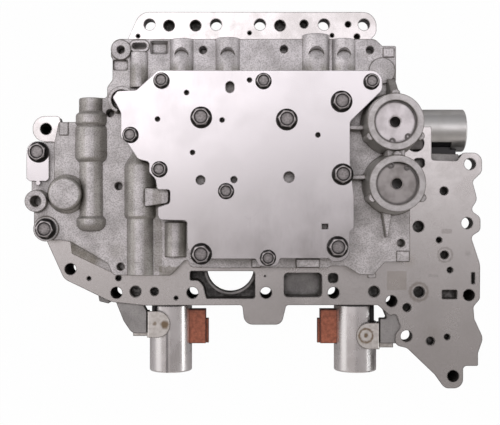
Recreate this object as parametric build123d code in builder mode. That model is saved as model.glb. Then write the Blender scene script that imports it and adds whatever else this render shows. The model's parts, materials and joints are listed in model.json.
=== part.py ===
from build123d import *
from dataclasses import dataclass
from math import cos, radians, sin, tan
import os

os.makedirs("parts", exist_ok=True)

# The stack, from the rest face up. X runs right and Y up as the body is usually seen, Z towards the eye.
lower_height = 31.0
flange_thickness = 9.0
plate_thickness = 1.5
web_height = 13.5
ledge_height = 6.5
seat_height = 24.0
cover_thickness = 2.0
rim_height = 35.5

plate_bottom = lower_height
plate_top = plate_bottom + plate_thickness
flange_bottom = lower_height - flange_thickness
ledge_top = plate_top + ledge_height
web_top = plate_top + web_height
seat_top = plate_top + seat_height
cover_top = seat_top + cover_thickness
rim_top = plate_top + rim_height

# Fits
running_gap = 0.05
hole_gap = 0.3
touch_gap = 0.2
edge_inset = 0.5

# Bolts of the cover and of the left edge
large_shank_r = 3.0
large_flange_r = 6.8
large_hex_across = 10.0
large_head_height = 6.0
large_bolt_length = 40.0
side_bolt_length = 26.0
small_shank_r = 2.5
small_flange_r = 5.1
small_hex_across = 8.0
small_head_height = 5.0
small_bolt_length = 16.0
bolt_flange_share = 0.26
bolt_flange_taper = 12
bolt_dish_share = 0.38
bolt_dish_depth = 0.8
bolt_dish_taper = 20
bolt_tip = 0.6
bolt_tip_taper = 45
bolt_end_gap = 1.0

large_bolts = [(-30.4, 58.9), (22.9, 57.6), (57.0, 68.8), (57.6, 23.5), (-30.4, -26.0), (54.5, -21.7)]
small_bolts = [
    (-55.1, 81.8), (8.4, 81.5), (75.6, 81.2), (-74.4, 48.0), (-56.4, 26.6), (-14.9, 13.0), (11.2, -28.5),
]
bracket_bolt = (-135.6, 38.4)
casting_bolt = (-129.6, -10.7)

# Holes that take the bolts of the transmission case
case_hole_r = 3.75
case_column_wall = 3.2
strip_y = 121.9
strip_xs = (-65.3, -22.1, 6.5, 48.1, 74.1)
band_y = -52.5
band_xs = (-86.8, -37.4, 10.4, 54.3)
deep_case_holes = [(-132.6, 54.0), (-116.7, -37.1), (92.0, -57.9), (142.3, -54.0), (132.0, -106.6)]
lobe_case_holes = [(101.7, -80.6), (141.1, -7.2), (143.0, 31.2)]
strip_holes = [(x, strip_y) for x in strip_xs]
band_holes = [(x, band_y) for x in band_xs]
deep_columns = band_holes + deep_case_holes
shallow_columns = strip_holes + lobe_case_holes
case_holes = deep_columns + shallow_columns

# Oil ports of the separator plate, by radius
port_depth = 6.0
port_inset = 0.3
ports = {
    3.7: [
        (-52.6, 121.2), (-35.4, 121.2), (19.5, 121.2), (-74.4, -51.7), (80.6, -51.7), (109.9, -52.0),
        (109.5, -9.4),
    ],
    2.8: [(35.1, 122.2), (-62.1, -51.7), (102.0, -62.1), (126.4, -27.9), (126.1, 13.7), (117.3, -83.9)],
    2.0: [(63.7, 122.0), (69.5, 114.0), (122.9, -18.2), (128.1, -81.2), (130.0, -37.7), (-85.5, -42.9)],
    1.4: [(-0.3, 116.4), (53.3, 114.8), (-72.8, 114.4), (-104.7, -43.2), (-48.1, -55.9)],
}
pinhole_r = 0.6
pinhole = (9.8, -41.6)

# Outlines. Each corner is x, y and its radius.
plate_outline = [
    (-71.5, 130.0, 9), (82.2, 130.0, 9), (82.2, 116.0, 6), (76.5, 110.0, 1), (91.5, 104.0, 1),
    (91.5, 80.0, 3), (102.0, 68.0, 3), (104.0, 55.5, 2), (118.0, 55.5, 1), (118.0, 33.8, 1.5),
    (134.6, 33.2, 2), (138.4, 38.6, 2.5), (150.8, 38.6, 6), (150.8, 26.0, 5), (144.6, 20.0, 3),
    (147.8, 8.0, 6), (143.4, 1.2, 3), (149.8, -3.4, 4), (149.8, -12.0, 4), (143.6, -16.0, 3),
    (149.6, -34.0, 14), (149.4, -56.6, 4), (145.2, -61.5, 3), (145.8, -69.5, 5), (151.6, -82.0, 7),
    (148.2, -91.6, 3), (148.2, -100.0, 1), (138.5, -100.0, 2.5), (138.5, -114.6, 6), (126.5, -114.6, 5),
    (120.4, -106.0, 4), (102.0, -88.4, 5), (94.2, -86.6, 4), (94.4, -79.4, 3), (98.0, -75.0, 1.5),
    (95.0, -66.2, 2), (91.0, -67.4, 2), (83.0, -60.5, 1.5), (23.6, -60.5, 2), (20.5, -73.2, 5),
    (-3.6, -73.2, 6), (-5.0, -60.5, 2), (-68.0, -60.8, 15), (-90.0, -58.5, 15), (-120.8, -43.6, 8),
    (-133.4, -16.0, 3), (-138.5, -4.0, 3), (-138.5, 43.0, 2), (-127.0, 45.6, 0), (-141.2, 45.6, 8.0),
    (-141.2, 62.4, 8.0), (-124.0, 62.4, 2), (-122.5, 56.5, 2), (-108.0, 56.5, 1), (-107.0, 71.0, 2),
    (-86.0, 71.0, 2), (-86.0, 108.0, 4), (-79.6, 112.0, 1),
]
block_outline = [
    (-66.0, 107.0, 5), (86.0, 107.0, 5), (86.0, 78.0, 4), (96.4, 73.0, 3), (96.4, 22.0, 3),
    (113.0, 16.0, 5), (113.0, -30.0, 8), (119.0, -44.0, 6), (119.0, -62.0, 5), (84.0, -59.8, 2),
    (-66.0, -59.8, 12), (-89.0, -57.0, 14), (-118.0, -42.5, 8), (-131.5, -15.0, 5), (-136.0, 0.0, 4),
    (-136.0, 44.0, 5), (-106.0, 54.0, 4), (-104.0, 68.0, 4), (-85.0, 73.0, 4), (-84.0, 104.0, 5),
]
slab_outline = [
    (-88.4, 110.0, 6.3), (79.5, 110.0, 5), (84.0, 105.6, 1), (92.8, 105.6, 1), (92.8, 81.5, 5),
    (88.0, 79.0, 2), (97.0, 66.0, 3), (97.0, 8.0, 3), (101.7, 2.0, 1), (101.7, -31.8, 1),
    (85.8, -31.8, 1), (78.5, -40.1, 3.5), (70.0, -39.8, 4), (60.8, -34.4, 4), (50.9, -34.4, 1),
    (49.4, -35.6, 1), (-24.0, -35.6, 1), (-39.0, -35.0, 3.0), (-39.0, -30.8, 1), (-41.5, -30.8, 1),
    (-50.6, -40.4, 1.5), (-87.0, -40.2, 3), (-90.5, -32.6, 2), (-114.0, -19.0, 3), (-120.8, -17.8, 3),
    (-137.3, -18.2, 7.4), (-137.3, 5.0, 2), (-124.6, 8.0, 2), (-124.6, 43.0, 3), (-121.6, 57.2, 1.5),
    (-108.7, 57.2, 1), (-108.7, 72.5, 1.5), (-90.8, 72.5, 2), (-90.8, 79.5, 4), (-87.4, 84.0, 3),
    (-87.4, 96.8, 1), (-88.4, 99.0, 0.5),
]
cover_outline = [
    (-57.4, 88.2, 3), (82.4, 88.2, 7), (82.4, 76.0, 4), (62.3, 56.4, 4), (62.3, 30.0, 8),
    (64.8, 10.0, 8), (64.8, -10.0, 1.5), (62.3, -12.2, 1.5), (62.3, -31.0, 8), (51.0, -31.0, 2),
    (49.0, -28.9, 1), (18.8, -28.9, 1.5), (17.0, -33.8, 3.5), (5.4, -33.8, 3.5), (3.6, -29.2, 1.5),
    (-38.0, -29.2, 1), (-38.0, -24.0, 1), (-39.2, -22.4, 0.9), (-39.2, -5.3, 2), (-57.4, -4.8, 3),
    (-57.4, 3.0, 1.5), (-49.8, 5.4, 2.5), (-49.8, 13.9, 1.5), (-57.8, 14.0, 1.5), (-58.8, 20.4, 2),
    (-62.8, 24.8, 2), (-62.8, 31.2, 2), (-69.8, 33.0, 4), (-76.6, 43.4, 3), (-80.4, 46.4, 3),
    (-80.4, 61.8, 2), (-82.8, 66.4, 3), (-85.6, 71.4, 1.5), (-82.6, 75.4, 2.5), (-70.8, 75.8, 3),
]
left_ledge_outline = [
    (-140.4, 45.0, 4), (-120.0, 45.0, 1), (-120.0, 3.0, 1), (-136.0, 3.0, 1), (-140.4, 13.0, 2),
]
wedge_outline = [(-116.0, -16.0, 1), (-114.6, -26.8, 1.5), (-86.4, -40.2, 3), (-80.0, -30.0, 1)]
left_lug_outline = [
    (-90.0, -52.0, 1), (-82.4, -71.0, 6), (-77.0, -79.0, 5), (-67.5, -79.0, 0.8), (-67.5, -64.6, 1),
    (-70.0, -60.0, 1), (-70.0, -52.0, 1),
]
right_lug_outline = [
    (84.0, -56.0, 1), (89.6, -69.6, 1), (84.8, -69.6, 0.8), (84.8, -85.6, 0.8), (97.0, -85.6, 2),
    (104.0, -72.0, 1), (98.0, -56.0, 1),
]
can_ledge_outline = [(112.0, 30.0, 1), (112.0, 38.6, 1), (136.0, 37.8, 1), (139.0, 30.0, 1)]
can_ledge_drop = 1.5
cover_margin = 0.7

# Separator plate windows
window_outline = [
    (-39.0, -38.4, 1), (3.2, -38.4, 2), (3.2, -56.2, 1.5), (-28.4, -56.2, 1), (-30.4, -48.0, 4),
    (-33.6, -44.4, 4), (-39.0, -44.4, 1),
]
window_depth = 13.0
neck_centre = (-13.0, -37.0)
neck_r = 15.5
neck_step_r = 17.4
neck_step_depth = 6.0
neck_collar_r = 22.0
neck_relief_r = 18.0
neck_relief_height = 14.0
pocket_centre = (34.45, -47.4)
pocket_size = (24.6, 15.6)
pocket_corner = 2.5
pocket_depth = 14.0
pocket_wall = 4.0
square_port = (129.7, -53.6)
square_port_size = (9.7, 5.8)
small_port = (54.0, -42.9)
small_port_size = (6.4, 6.2)
small_port_corner = 2.2
slot_port = (145.0, -43.0)
slot_port_size = (2.2, 7.4)
moon_port = (107.6, 44.8)
moon_port_r = 5.6
arch_port = (110.0, 31.9)
arch_port_size = (7.0, 6.2)
arch_port_depth = 3.0

# Lower casting: an open box with ribs below its flange
block_wall = 5.0
rib_width = 4.0
rib_reach = 300.0
rib_ys = (-33.0, -6.0, 21.0, 48.0, 75.0)
rib_xs = (-112.0, -84.0, -56.0, -28.0, 0.0, 28.0, 56.0, 84.0)
rest_pad_r = 9.0
lobe_boss_rise = 1.0
window_floor_centre = (-18.0, -47.0)
window_floor_size = (50.0, 27.0)
fin_outline = [(-102.0, -46.0, 1), (-90.0, -46.0, 1), (-93.0, -60.6, 1), (-99.5, -59.0, 1)]
fin_bottom = 5.0

# Upper casting's bosses. Valve bores lie along Y at one height.
bore_z = plate_top + 10.5
web_hole_r = 2.5
web_hole_depth = 10.0
web_holes = [
    (-29.9, 103.0), (21.6, 103.6), (76.3, 103.0), (-89.0, 62.9), (-83.6, 16.5), (-82.3, -34.7), (96.0, -19.7),
]
ear_centre = (-82.0, 103.0)
ear_r = 6.3
ear_rise = 1.5
slot_lug_centre = (-70.3, 105.5)
slot_lug_size = (12.4, 7.6)
slot_lug_corner = 3.4
slot_lug_rise = 0.8
slot_size = (9.4, 3.8)
tray_centre = (-57.8, 104.6)
tray_size = (11.2, 8.2)
tray_depth = 4.0
tray_taper = 18
recess_centre = (-82.4, 93.4)
recess_size = (9.4, 6.4)
recess_depth = 2.0
small_corner = 1.0
rib_boss_x = -70.6
rib_boss_r = 5.7
rib_boss_ys = (79.0, 101.5)
rib_boss_drop = 1.5
disc_centre = (83.9, 89.7)
disc_r = 8.3
disc_rise = 1.0
left_disc_centre = (-116.5, 11.4)
left_disc_r = 10.2
left_disc_rise = 9.0
left_disc_foot_r = 12.4
left_disc_foot_rise = 2.0
left_disc_taper = 45
left_disc_round = 1.5
pad_rise = 0.6
pads = {
    (88.1, 101.4): (7.0, 5.8),
    (-118.4, 53.0): (5.6, 8.2),
    (97.2, -28.2): (8.0, 6.6),
}
seat_ring_r = 8.0
seat_ring_rise = 1.0
tube_centre = (-135.5, 6.9)
tube_r = 6.9
tube_bore_r = 3.5
tube_height = 17.5
tube_bore_depth = 14.0
ridge_centre = (-80.6, 70.4)
ridge_r = 7.4
ridge_width = 2.2
ridge_start = 35.0
ridge_sweep = 215.0
ridge_drop = 1.5
notch_lug_outline = [(-66.0, 15.2, 1), (-51.2, 14.2, 2), (-51.2, 5.6, 2), (-66.0, 3.4, 1)]
notch_lug_rise = 9.0
short_boss_x = -47.3
short_boss_r = 7.4
short_boss_ys = (-28.4, -6.6)
point_rib_outline = [(83.4, 0.0, 0.5), (89.4, 0.0, 0.5), (87.0, -15.8, 0.8), (85.8, -15.8, 0.3)]
point_rib_rise = 6.0
foot_lug_centre = (78.9, -38.6)
foot_lug_size = (5.2, 8.0)
foot_lug_rise = 3.0
strut_height = 8.0
strut_width = 2.6
struts = [(68.5, 53.1, 12.0), (69.5, 21.9, 12.0)]
step_pad_rise = 4.0
step_pads = {(4.0, -32.4): (5.6, 5.0), (36.6, -32.4): (14.6, 5.0)}

# Accumulators
accumulator_centres = {"upper": (89.5, 55.5), "lower": (90.6, 17.5)}
accumulator_bore_r = 13.2
accumulator_wall = 4.2
accumulator_draft = 5.0
accumulator_floor = 4.0
accumulator_port_r = 2.5
rim_lug_r = 2.7
rim_lug_angles = (90, 210, 330)
rim_lug_drop = 1.2
rim_bridge_width = 11.0
rim_bridge_drop = 3.0
strut_rib_width = 5.0
strut_rib = [(70.0, 0.0), (85.0, 0.0), (85.0, 13.5), (73.6, 31.5), (70.0, 31.5)]
cap_drop = 3.4
cap_thickness = 3.0
cap_gap = 0.1
cap_vent_r = 3.2
ring_thickness = 1.2
ring_width = 1.7
ring_groove_depth = 0.9
ring_gap_angle = 25.0
ring_eye_r = 2.0
ring_eye_hole_r = 0.8
ring_gap_centres = {"upper": -74.0, "lower": 83.0}
piston_gap = 0.3
piston_height = 9.0
piston_wall = 2.5
piston_floor = 4.0
seal_start = 0.8
seal_width = 2.4
seal_depth = 1.9
accumulator_wire_r = 1.1
accumulator_turns = 5
accumulator_coil_r = 7.6

# Left edge bracket, of sheet
bracket_thickness = 2.0
bracket_outline = [
    (-142.6, 45.3, 6.4), (-128.9, 45.3, 6.4), (-128.9, 21.6, 0.5), (-130.6, 19.8, 0.5),
    (-141.4, 19.8, 0.5), (-143.3, 21.6, 0.5), (-143.3, 36.0, 2),
]
bracket_nose = (-135.9, 18.6)
bracket_nose_r = 1.6
bracket_seat = ledge_top + bracket_thickness
casting_seat = web_top + seat_ring_rise

# Separate small pieces between the castings
ball_r = 3.0
ball_pocket_gap = 0.5
ball_places = [(2.0, 62.0), (4.0, 34.0), (-30.0, 4.0), (24.0, 4.0), (76.0, -14.0)]
dowel_r = 4.0
dowel_bore_r = 2.6
dowel_length = 14.0
dowel_places = [(-122.0, 30.0), (83.0, 97.0)]

# Solenoids. Distances along a solenoid run out from the face that it sits on.
solenoid_axis_z = 15.2
front_face_y = -60.5
side_face_x = 97.4
barrel_r = 12.4
barrel_end_wall = 4.0
sleeve_r = 8.0
sleeve_length = 52.0
sleeve_bore_r = 4.0
sleeve_end_wall = 3.0
sleeve_head_r = 11.0
sleeve_head_length = 3.0
sleeve_port_width = 4.0
sleeve_port_depth = 1.2
sleeve_port_hole_r = 1.3
sleeve_ports = (8.0, 18.0, 28.0, 38.0)
feed_r = 1.6
can_r = 14.05
can_wall = 1.1
can_end_wall = 1.6
can_start = 1.2
can_end = 44.8
can_corner = 1.2
notch_reach = 8.5
collar_r = 12.6
collar_bore_r = 11.2
coil_end = 42.0
coil_gap = 0.3
coil_bore_start = 9.0
coil_bore_end = 38.0
plunger_r = 5.0
plunger_start = 12.0
plunger_end = 37.9
rod_r = 1.6
rod_gap = 0.6
solenoid_spring_length = 7.0
solenoid_wire_r = 0.4
solenoid_turns = 4
solenoid_land_end = 3.0
solenoid_lands = 4
solenoid_stem_r = 2.4
connector_reach = 23.4
connector_width = 11.0
connector_length = 22.2
connector_root = 9.0
connector_rib_width = 4.0
connector_rib_rise = 1.9
connector_rib_start = 6.0
socket_wall = 1.3
socket_depth = 12.0

# Sheet straps on the solenoid cans, each with a foot under a lug of the lower casting
strap_thickness = 1.2
strap_bend_r = 0.4
strap_tip = -0.7
strap_tip_gap = 0.3
strap_foot_length = 10.0
strap_bolt_reach = 5.2
strap_bolt_length = 7.6
lug_reach = 14.7
strap_top = solenoid_axis_z + can_r + touch_gap + strap_thickness


@dataclass(frozen=True)
class Solenoid:
    """One solenoid: its mouth on the lower casting, the way it points, and what sits on its sides."""

    name: str
    x: float
    y: float
    out: tuple
    connector_side: tuple
    connector_start: float
    strap_side: tuple
    strap_start: float
    strap_width: float
    notch_side: tuple
    notch_start: float
    notch_length: float

    def plane(self):
        """The mouth, with its normal pointing out along the axis."""
        return Plane(origin=(self.x, self.y, solenoid_axis_z), x_dir=self.connector_side, z_dir=self.out)

    def across(self, place, side):
        """A plane across the axis at a place along it: X runs level to one side, Y straight up."""
        level = Vector(*side)
        origin = self.plane().origin + Vector(*self.out) * place
        return Plane(origin=origin, x_dir=level, z_dir=level.cross(Vector(0, 0, 1)))

    def strap_bolt(self):
        """The seat of the strap's bolt, under the strap's foot, with the head pointing down."""
        middle = self.across(self.strap_start + self.strap_width / 2, self.strap_side)
        place = middle.origin + middle.x_dir * (lug_reach + strap_bolt_reach)
        return Plane(origin=(place.X, place.Y, flange_bottom - touch_gap - strap_thickness), z_dir=(0, 0, -1))


front = (0, -1, 0)
right = (1, 0, 0)
left = (-1, 0, 0)
solenoids = (
    Solenoid("front_solenoid_1", -52.8, front_face_y, front, right, 4.2, left, 4.2, 17.2, left, 1.2, 10.8),
    Solenoid("front_solenoid_2", 70.1, front_face_y, front, left, 4.2, right, 11.8, 17.2, right, 1.2, 10.8),
    Solenoid("side_solenoid", side_face_x, 54.3, right, front, 16.6, front, 1.2, 14.0, front, 21.6, 13.0),
)


@dataclass(frozen=True)
class Valve:
    """One spool valve of the upper casting: where its bore opens, and which way it runs in."""

    name: str
    x: float
    mouth_y: float
    inward: int
    bore_r: float
    depth: float
    spring_length: float
    lands: int

    def plane(self):
        """The bore's mouth, with its normal running into the casting."""
        return Plane(origin=(self.x, self.mouth_y, bore_z), x_dir=(1, 0, 0), z_dir=(0, self.inward, 0))

    def profile_plane(self):
        """A level plane through the axis: X is the radius and Y runs into the casting."""
        return Plane(origin=(self.x, self.mouth_y, bore_z), x_dir=(1, 0, 0), z_dir=(0, 0, self.inward))

    def axis(self):
        """The bore's axis."""
        return Axis(self.plane().origin, self.plane().z_dir)

    def level_plane(self, z):
        """A level plane at one height that looks up: its Y runs in from the mouth along the bore."""
        return Plane(origin=(self.x, self.mouth_y, z), x_dir=(self.inward, 0, 0), z_dir=(0, 0, 1))

    def crescent_plane(self):
        """A tilted plane just under the top of the boss, where a flat is cut."""
        height = bore_z + valve_bosses[self.name][0][0] - crescent_depth
        tilt = radians(crescent_tilt)
        return Plane(origin=(self.x, crescent_y, height), z_dir=(0, sin(tilt), cos(tilt)))

    def spool_start(self):
        """How far in the spool's near end lies at rest."""
        return plug_recess + plug_length + self.spring_length

    def spool_end(self):
        """How far in the spool's nose lies at rest."""
        return self.depth - spool_end_gap

    def grooves(self):
        """Start and end of each groove that the spool leaves open between its lands."""
        pitch = (self.spool_end() - spool_nose - self.spool_start()) / self.lands
        starts = [self.spool_start() + pitch * land for land in range(self.lands)]
        return [(start + pitch * spool_land_share, start + pitch) for start in starts]

    def keeper_half_width(self):
        """Half of the keeper plate's width across the bore."""
        return self.bore_r + keeper_wing

    def keeper_top(self):
        """How high the keeper plate reaches."""
        return bore_z + self.bore_r * keeper_rise_share


valves = (
    Valve("left_valve", -101.0, 72.5, -1, 5.0, 80.0, 16.0, 5),
    Valve("middle_valve", -69.8, -40.3, 1, 5.0, 66.0, 14.0, 4),
    Valve("top_valve_1", -43.4, 110.0, -1, 4.3, 78.0, 15.0, 4),
    Valve("top_valve_2", -14.2, 110.6, -1, 4.5, 84.0, 16.0, 5),
    Valve("top_valve_3", 41.9, 112.8, -1, 5.5, 98.0, 18.0, 5),
    Valve("top_valve_4", 59.5, 110.0, -1, 4.5, 32.0, 8.0, 1),
)
top_valves = [valve for valve in valves if valve.mouth_y > strip_y - 12.0]
plug_recess = 1.2
plug_length = 9.0
plug_dimple_r = 1.6
plug_dimple_depth = 2.0
keeper_thickness = 1.2
keeper_place = 5.0
keeper_wing = 1.6
keeper_neck = 2.0
keeper_rise_share = 0.6
spool_end_gap = 0.2
spool_stem_share = 0.55
spool_land_share = 0.56
spool_nose = 2.0
valve_wire_r = 0.55
valve_coil_gap = 0.6
valve_coil_pitch = 2.6
valve_port_margin = 1.1

# Outer bosses round the valve bores. Each corner is a radius, a distance in from the mouth, and its round.
valve_bosses = {
    "left_valve": [
        (7.6, 0.0, 0.8), (7.6, 8.6, 1.5), (10.2, 10.6, 2.0), (10.2, 16.2, 2.0), (9.0, 17.6, 0.5),
        (10.3, 19.0, 2.0), (10.3, 39.0, 3.0), (7.8, 40.6, 1.0), (7.8, 75.2, 0.8), (9.6, 76.8, 2.0),
        (9.6, 84.4, 5.0),
    ],
    "middle_valve": [(8.7, 0.0, 0.8), (8.7, 36.0, 1.0), (10.2, 37.6, 1.5), (10.2, 70.0, 6.0), (5.0, 79.0, 2.0)],
    "top_valve_1": [(7.8, 0.0, 0.8), (7.8, 26.0, 1.0)],
    "top_valve_2": [(8.0, 0.0, 0.8), (8.0, 26.0, 1.0)],
    "top_valve_3": [(8.9, 0.0, 0.8), (8.9, 28.0, 1.0)],
    "top_valve_4": [(7.8, 0.0, 0.8), (7.8, 26.0, 1.0)],
}
crescent_y = 98.5
crescent_tilt = 24.0
crescent_depth = 1.1
crescent_share = 0.56

# Holes in the cover plate, each over a recess in the casting, by radius
cover_holes = {
    1.55: [(-39.5, 74.4), (-0.3, 82.2), (-57.6, 57.9), (-17.4, 57.3), (-35.8, 37.1), (42.3, 48.0)],
    2.9: [(-30.8, 19.9)],
    2.1: [(-10.0, 20.2)],
    3.4: [(24.3, 21.8)],
}
cover_oval = (-12.5, 77.8)
cover_oval_size = (7.2, 5.4)
cover_window = (46.7, -9.0)
cover_window_size = (3.8, 3.2)
cover_recess_depth = 5.0
cover_recess_margin = 0.4


def rounded(outline):
    """A closed line through an outline's corners, each with its own radius."""
    FilletPolyline(*[(x, y) for x, y, r in outline], radius=[r for x, y, r in outline], close=True)


def turned(base, steps, bores=()):
    """A turned piece: each step or bore is a start, an end and a radius along the plane's normal."""
    with BuildPart() as piece:
        for start, end, radius in steps:
            with BuildSketch(base.offset(start)):
                Circle(radius)
            extrude(amount=end - start)
        for start, end, radius in bores:
            with BuildSketch(base.offset(start)):
                Circle(radius)
            extrude(amount=end - start, mode=Mode.SUBTRACT)
    return piece


def coil_spring(base, start, end, coil_r, wire_r, turns):
    """A helical spring between two distances along the plane's normal."""
    height = end - start - 2 * (wire_r + running_gap)
    seat = base.offset(start + wire_r + running_gap)
    with BuildPart() as spring:
        with BuildLine() as coil:
            Helix(pitch=height / turns, height=height, radius=coil_r, center=seat.origin, direction=seat.z_dir)
        along = coil.line % 0
        with BuildSketch(Plane(origin=coil.line @ 0, x_dir=seat.z_dir.cross(along), z_dir=along)):
            Circle(wire_r)
        sweep()
    return spring


def flange_bolts(seats, shank_r, flange_r, hex_across, head_height, length):
    """Flanged hexagon bolts with a dished head. Each seat is a plane whose normal points up the head."""
    with BuildPart() as bolts:
        for seat in seats:
            with BuildSketch(seat):
                Circle(flange_r)
            extrude(amount=head_height * bolt_flange_share, taper=bolt_flange_taper)
            with BuildSketch(seat):
                RegularPolygon(hex_across / 2, 6, major_radius=False)
            extrude(amount=head_height)
            with BuildSketch(seat.offset(head_height)):
                Circle(hex_across * bolt_dish_share)
            extrude(amount=-bolt_dish_depth, taper=bolt_dish_taper, mode=Mode.SUBTRACT)
            with BuildSketch(seat):
                Circle(shank_r)
            extrude(amount=bolt_tip - length)
            with BuildSketch(seat.offset(bolt_tip - length)):
                Circle(shank_r)
            extrude(amount=-bolt_tip, taper=bolt_tip_taper)
    return bolts


def upright(places, z):
    """Seats at one height for bolts whose heads point up."""
    return [Plane(origin=(x, y, z)) for x, y in places]


def write(piece, name):
    """Labels a finished piece and writes it under its own name."""
    piece.part.label = name
    export_step(piece.part, f"parts/{name}.step")


# Separator plate
with BuildPart() as separator_plate:
    with BuildSketch(Plane.XY.offset(plate_bottom)):
        with BuildLine():
            rounded(plate_outline)
        make_face()
        with Locations(*case_holes):
            Circle(case_hole_r, mode=Mode.SUBTRACT)
        for port_r, places in ports.items():
            with Locations(*places):
                Circle(port_r, mode=Mode.SUBTRACT)
        with Locations(pinhole):
            Circle(pinhole_r, mode=Mode.SUBTRACT)
        with Locations(*large_bolts, bracket_bolt, casting_bolt):
            Circle(large_shank_r + hole_gap, mode=Mode.SUBTRACT)
        with Locations(*dowel_places):
            Circle(dowel_r + running_gap, mode=Mode.SUBTRACT)
        with BuildLine():
            rounded(window_outline)
        make_face(mode=Mode.SUBTRACT)
        with Locations(pocket_centre):
            RectangleRounded(*pocket_size, pocket_corner, mode=Mode.SUBTRACT)
        with Locations(square_port):
            RectangleRounded(*square_port_size, pinhole_r, mode=Mode.SUBTRACT)
        with Locations(small_port):
            RectangleRounded(*small_port_size, small_port_corner, mode=Mode.SUBTRACT)
        with Locations(slot_port):
            Rectangle(*slot_port_size, mode=Mode.SUBTRACT)
        with Locations(arch_port):
            RectangleRounded(*arch_port_size, small_port_corner, mode=Mode.SUBTRACT)
        with Locations(moon_port):
            Circle(moon_port_r, mode=Mode.SUBTRACT)
    extrude(amount=plate_thickness)
write(separator_plate, "separator_plate")

# Lower casting: flange, ribbed box, bolt columns and solenoid barrels
column_r = case_hole_r + case_column_wall
tapped_r = large_shank_r + running_gap
bolt_column_r = tapped_r + case_column_wall
bolt_columns = [*large_bolts, bracket_bolt, casting_bolt]
side_solenoid = solenoids[-1]
with BuildPart() as lower_cuts:
    with BuildSketch():
        with Locations((side_solenoid.x + can_end / 2, side_solenoid.y)):
            Rectangle(can_end, 2 * lug_reach)
    extrude(amount=lower_height)
    for solenoid in solenoids:
        mouth = solenoid.plane()
        with BuildSketch(mouth):
            Circle(sleeve_r + running_gap)
        extrude(amount=-(sleeve_length + touch_gap))
        feeds = [mouth.origin - mouth.z_dir * (port + sleeve_port_width / 2) for port in sleeve_ports]
        with BuildSketch(Plane.XY.offset(solenoid_axis_z)):
            with Locations(*[(feed.X, feed.Y) for feed in feeds]):
                Circle(feed_r)
        extrude(amount=lower_height - solenoid_axis_z)
    with BuildSketch():
        with Locations(*case_holes):
            Circle(case_hole_r)
        with Locations(neck_centre):
            Circle(neck_r)
        with Locations(slot_port):
            Rectangle(slot_port_size[0] - port_inset, slot_port_size[1] - port_inset)
    extrude(amount=lower_height)
    with BuildSketch():
        with Locations(neck_centre):
            Circle(neck_relief_r)
    extrude(amount=neck_relief_height)
    with BuildSketch(Plane.XY.offset(lower_height)):
        with BuildLine():
            rounded(window_outline)
        make_face()
        with Locations(neck_centre):
            Circle(neck_step_r, mode=Mode.SUBTRACT)
    extrude(amount=-window_depth)
    with BuildSketch(Plane.XY.offset(lower_height)):
        with BuildLine():
            rounded(window_outline)
        make_face()
    extrude(amount=-neck_step_depth)
    with BuildSketch(Plane.XY.offset(lower_height)):
        with Locations(pocket_centre):
            RectangleRounded(*pocket_size, pocket_corner)
    extrude(amount=-pocket_depth)
    with BuildSketch(Plane.XY.offset(lower_height)):
        for port_r, places in ports.items():
            with Locations(*places):
                Circle(port_r - port_inset)
        with Locations(square_port):
            Rectangle(square_port_size[0] - port_inset, square_port_size[1] - port_inset)
        with Locations(small_port):
            Rectangle(small_port_size[0] - port_inset, small_port_size[1] - port_inset)
        with Locations(pinhole):
            Circle(pinhole_r)
    extrude(amount=-port_depth)
    with BuildSketch(Plane.XY.offset(lower_height)):
        with Locations(arch_port):
            Rectangle(arch_port_size[0] - port_inset, arch_port_size[1] - port_inset)
    extrude(amount=-arch_port_depth)
    with BuildSketch(Plane.XY.offset(lower_height)):
        with Locations(*dowel_places):
            Circle(dowel_r + running_gap)
    extrude(amount=-dowel_length / 2)
    for places, seat_z, length in (
        (large_bolts, cover_top, large_bolt_length),
        ([bracket_bolt], bracket_seat, side_bolt_length),
        ([casting_bolt], casting_seat, side_bolt_length),
    ):
        with BuildSketch(Plane.XY.offset(lower_height)):
            with Locations(*places):
                Circle(tapped_r)
        extrude(amount=seat_z - length - bolt_end_gap - lower_height)
    for solenoid in solenoids:
        seat = solenoid.strap_bolt().origin
        with BuildSketch(Plane.XY.offset(flange_bottom)):
            with Locations((seat.X, seat.Y)):
                Circle(small_shank_r + running_gap)
        extrude(amount=seat.Z + strap_bolt_length + hole_gap - flange_bottom)
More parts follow.
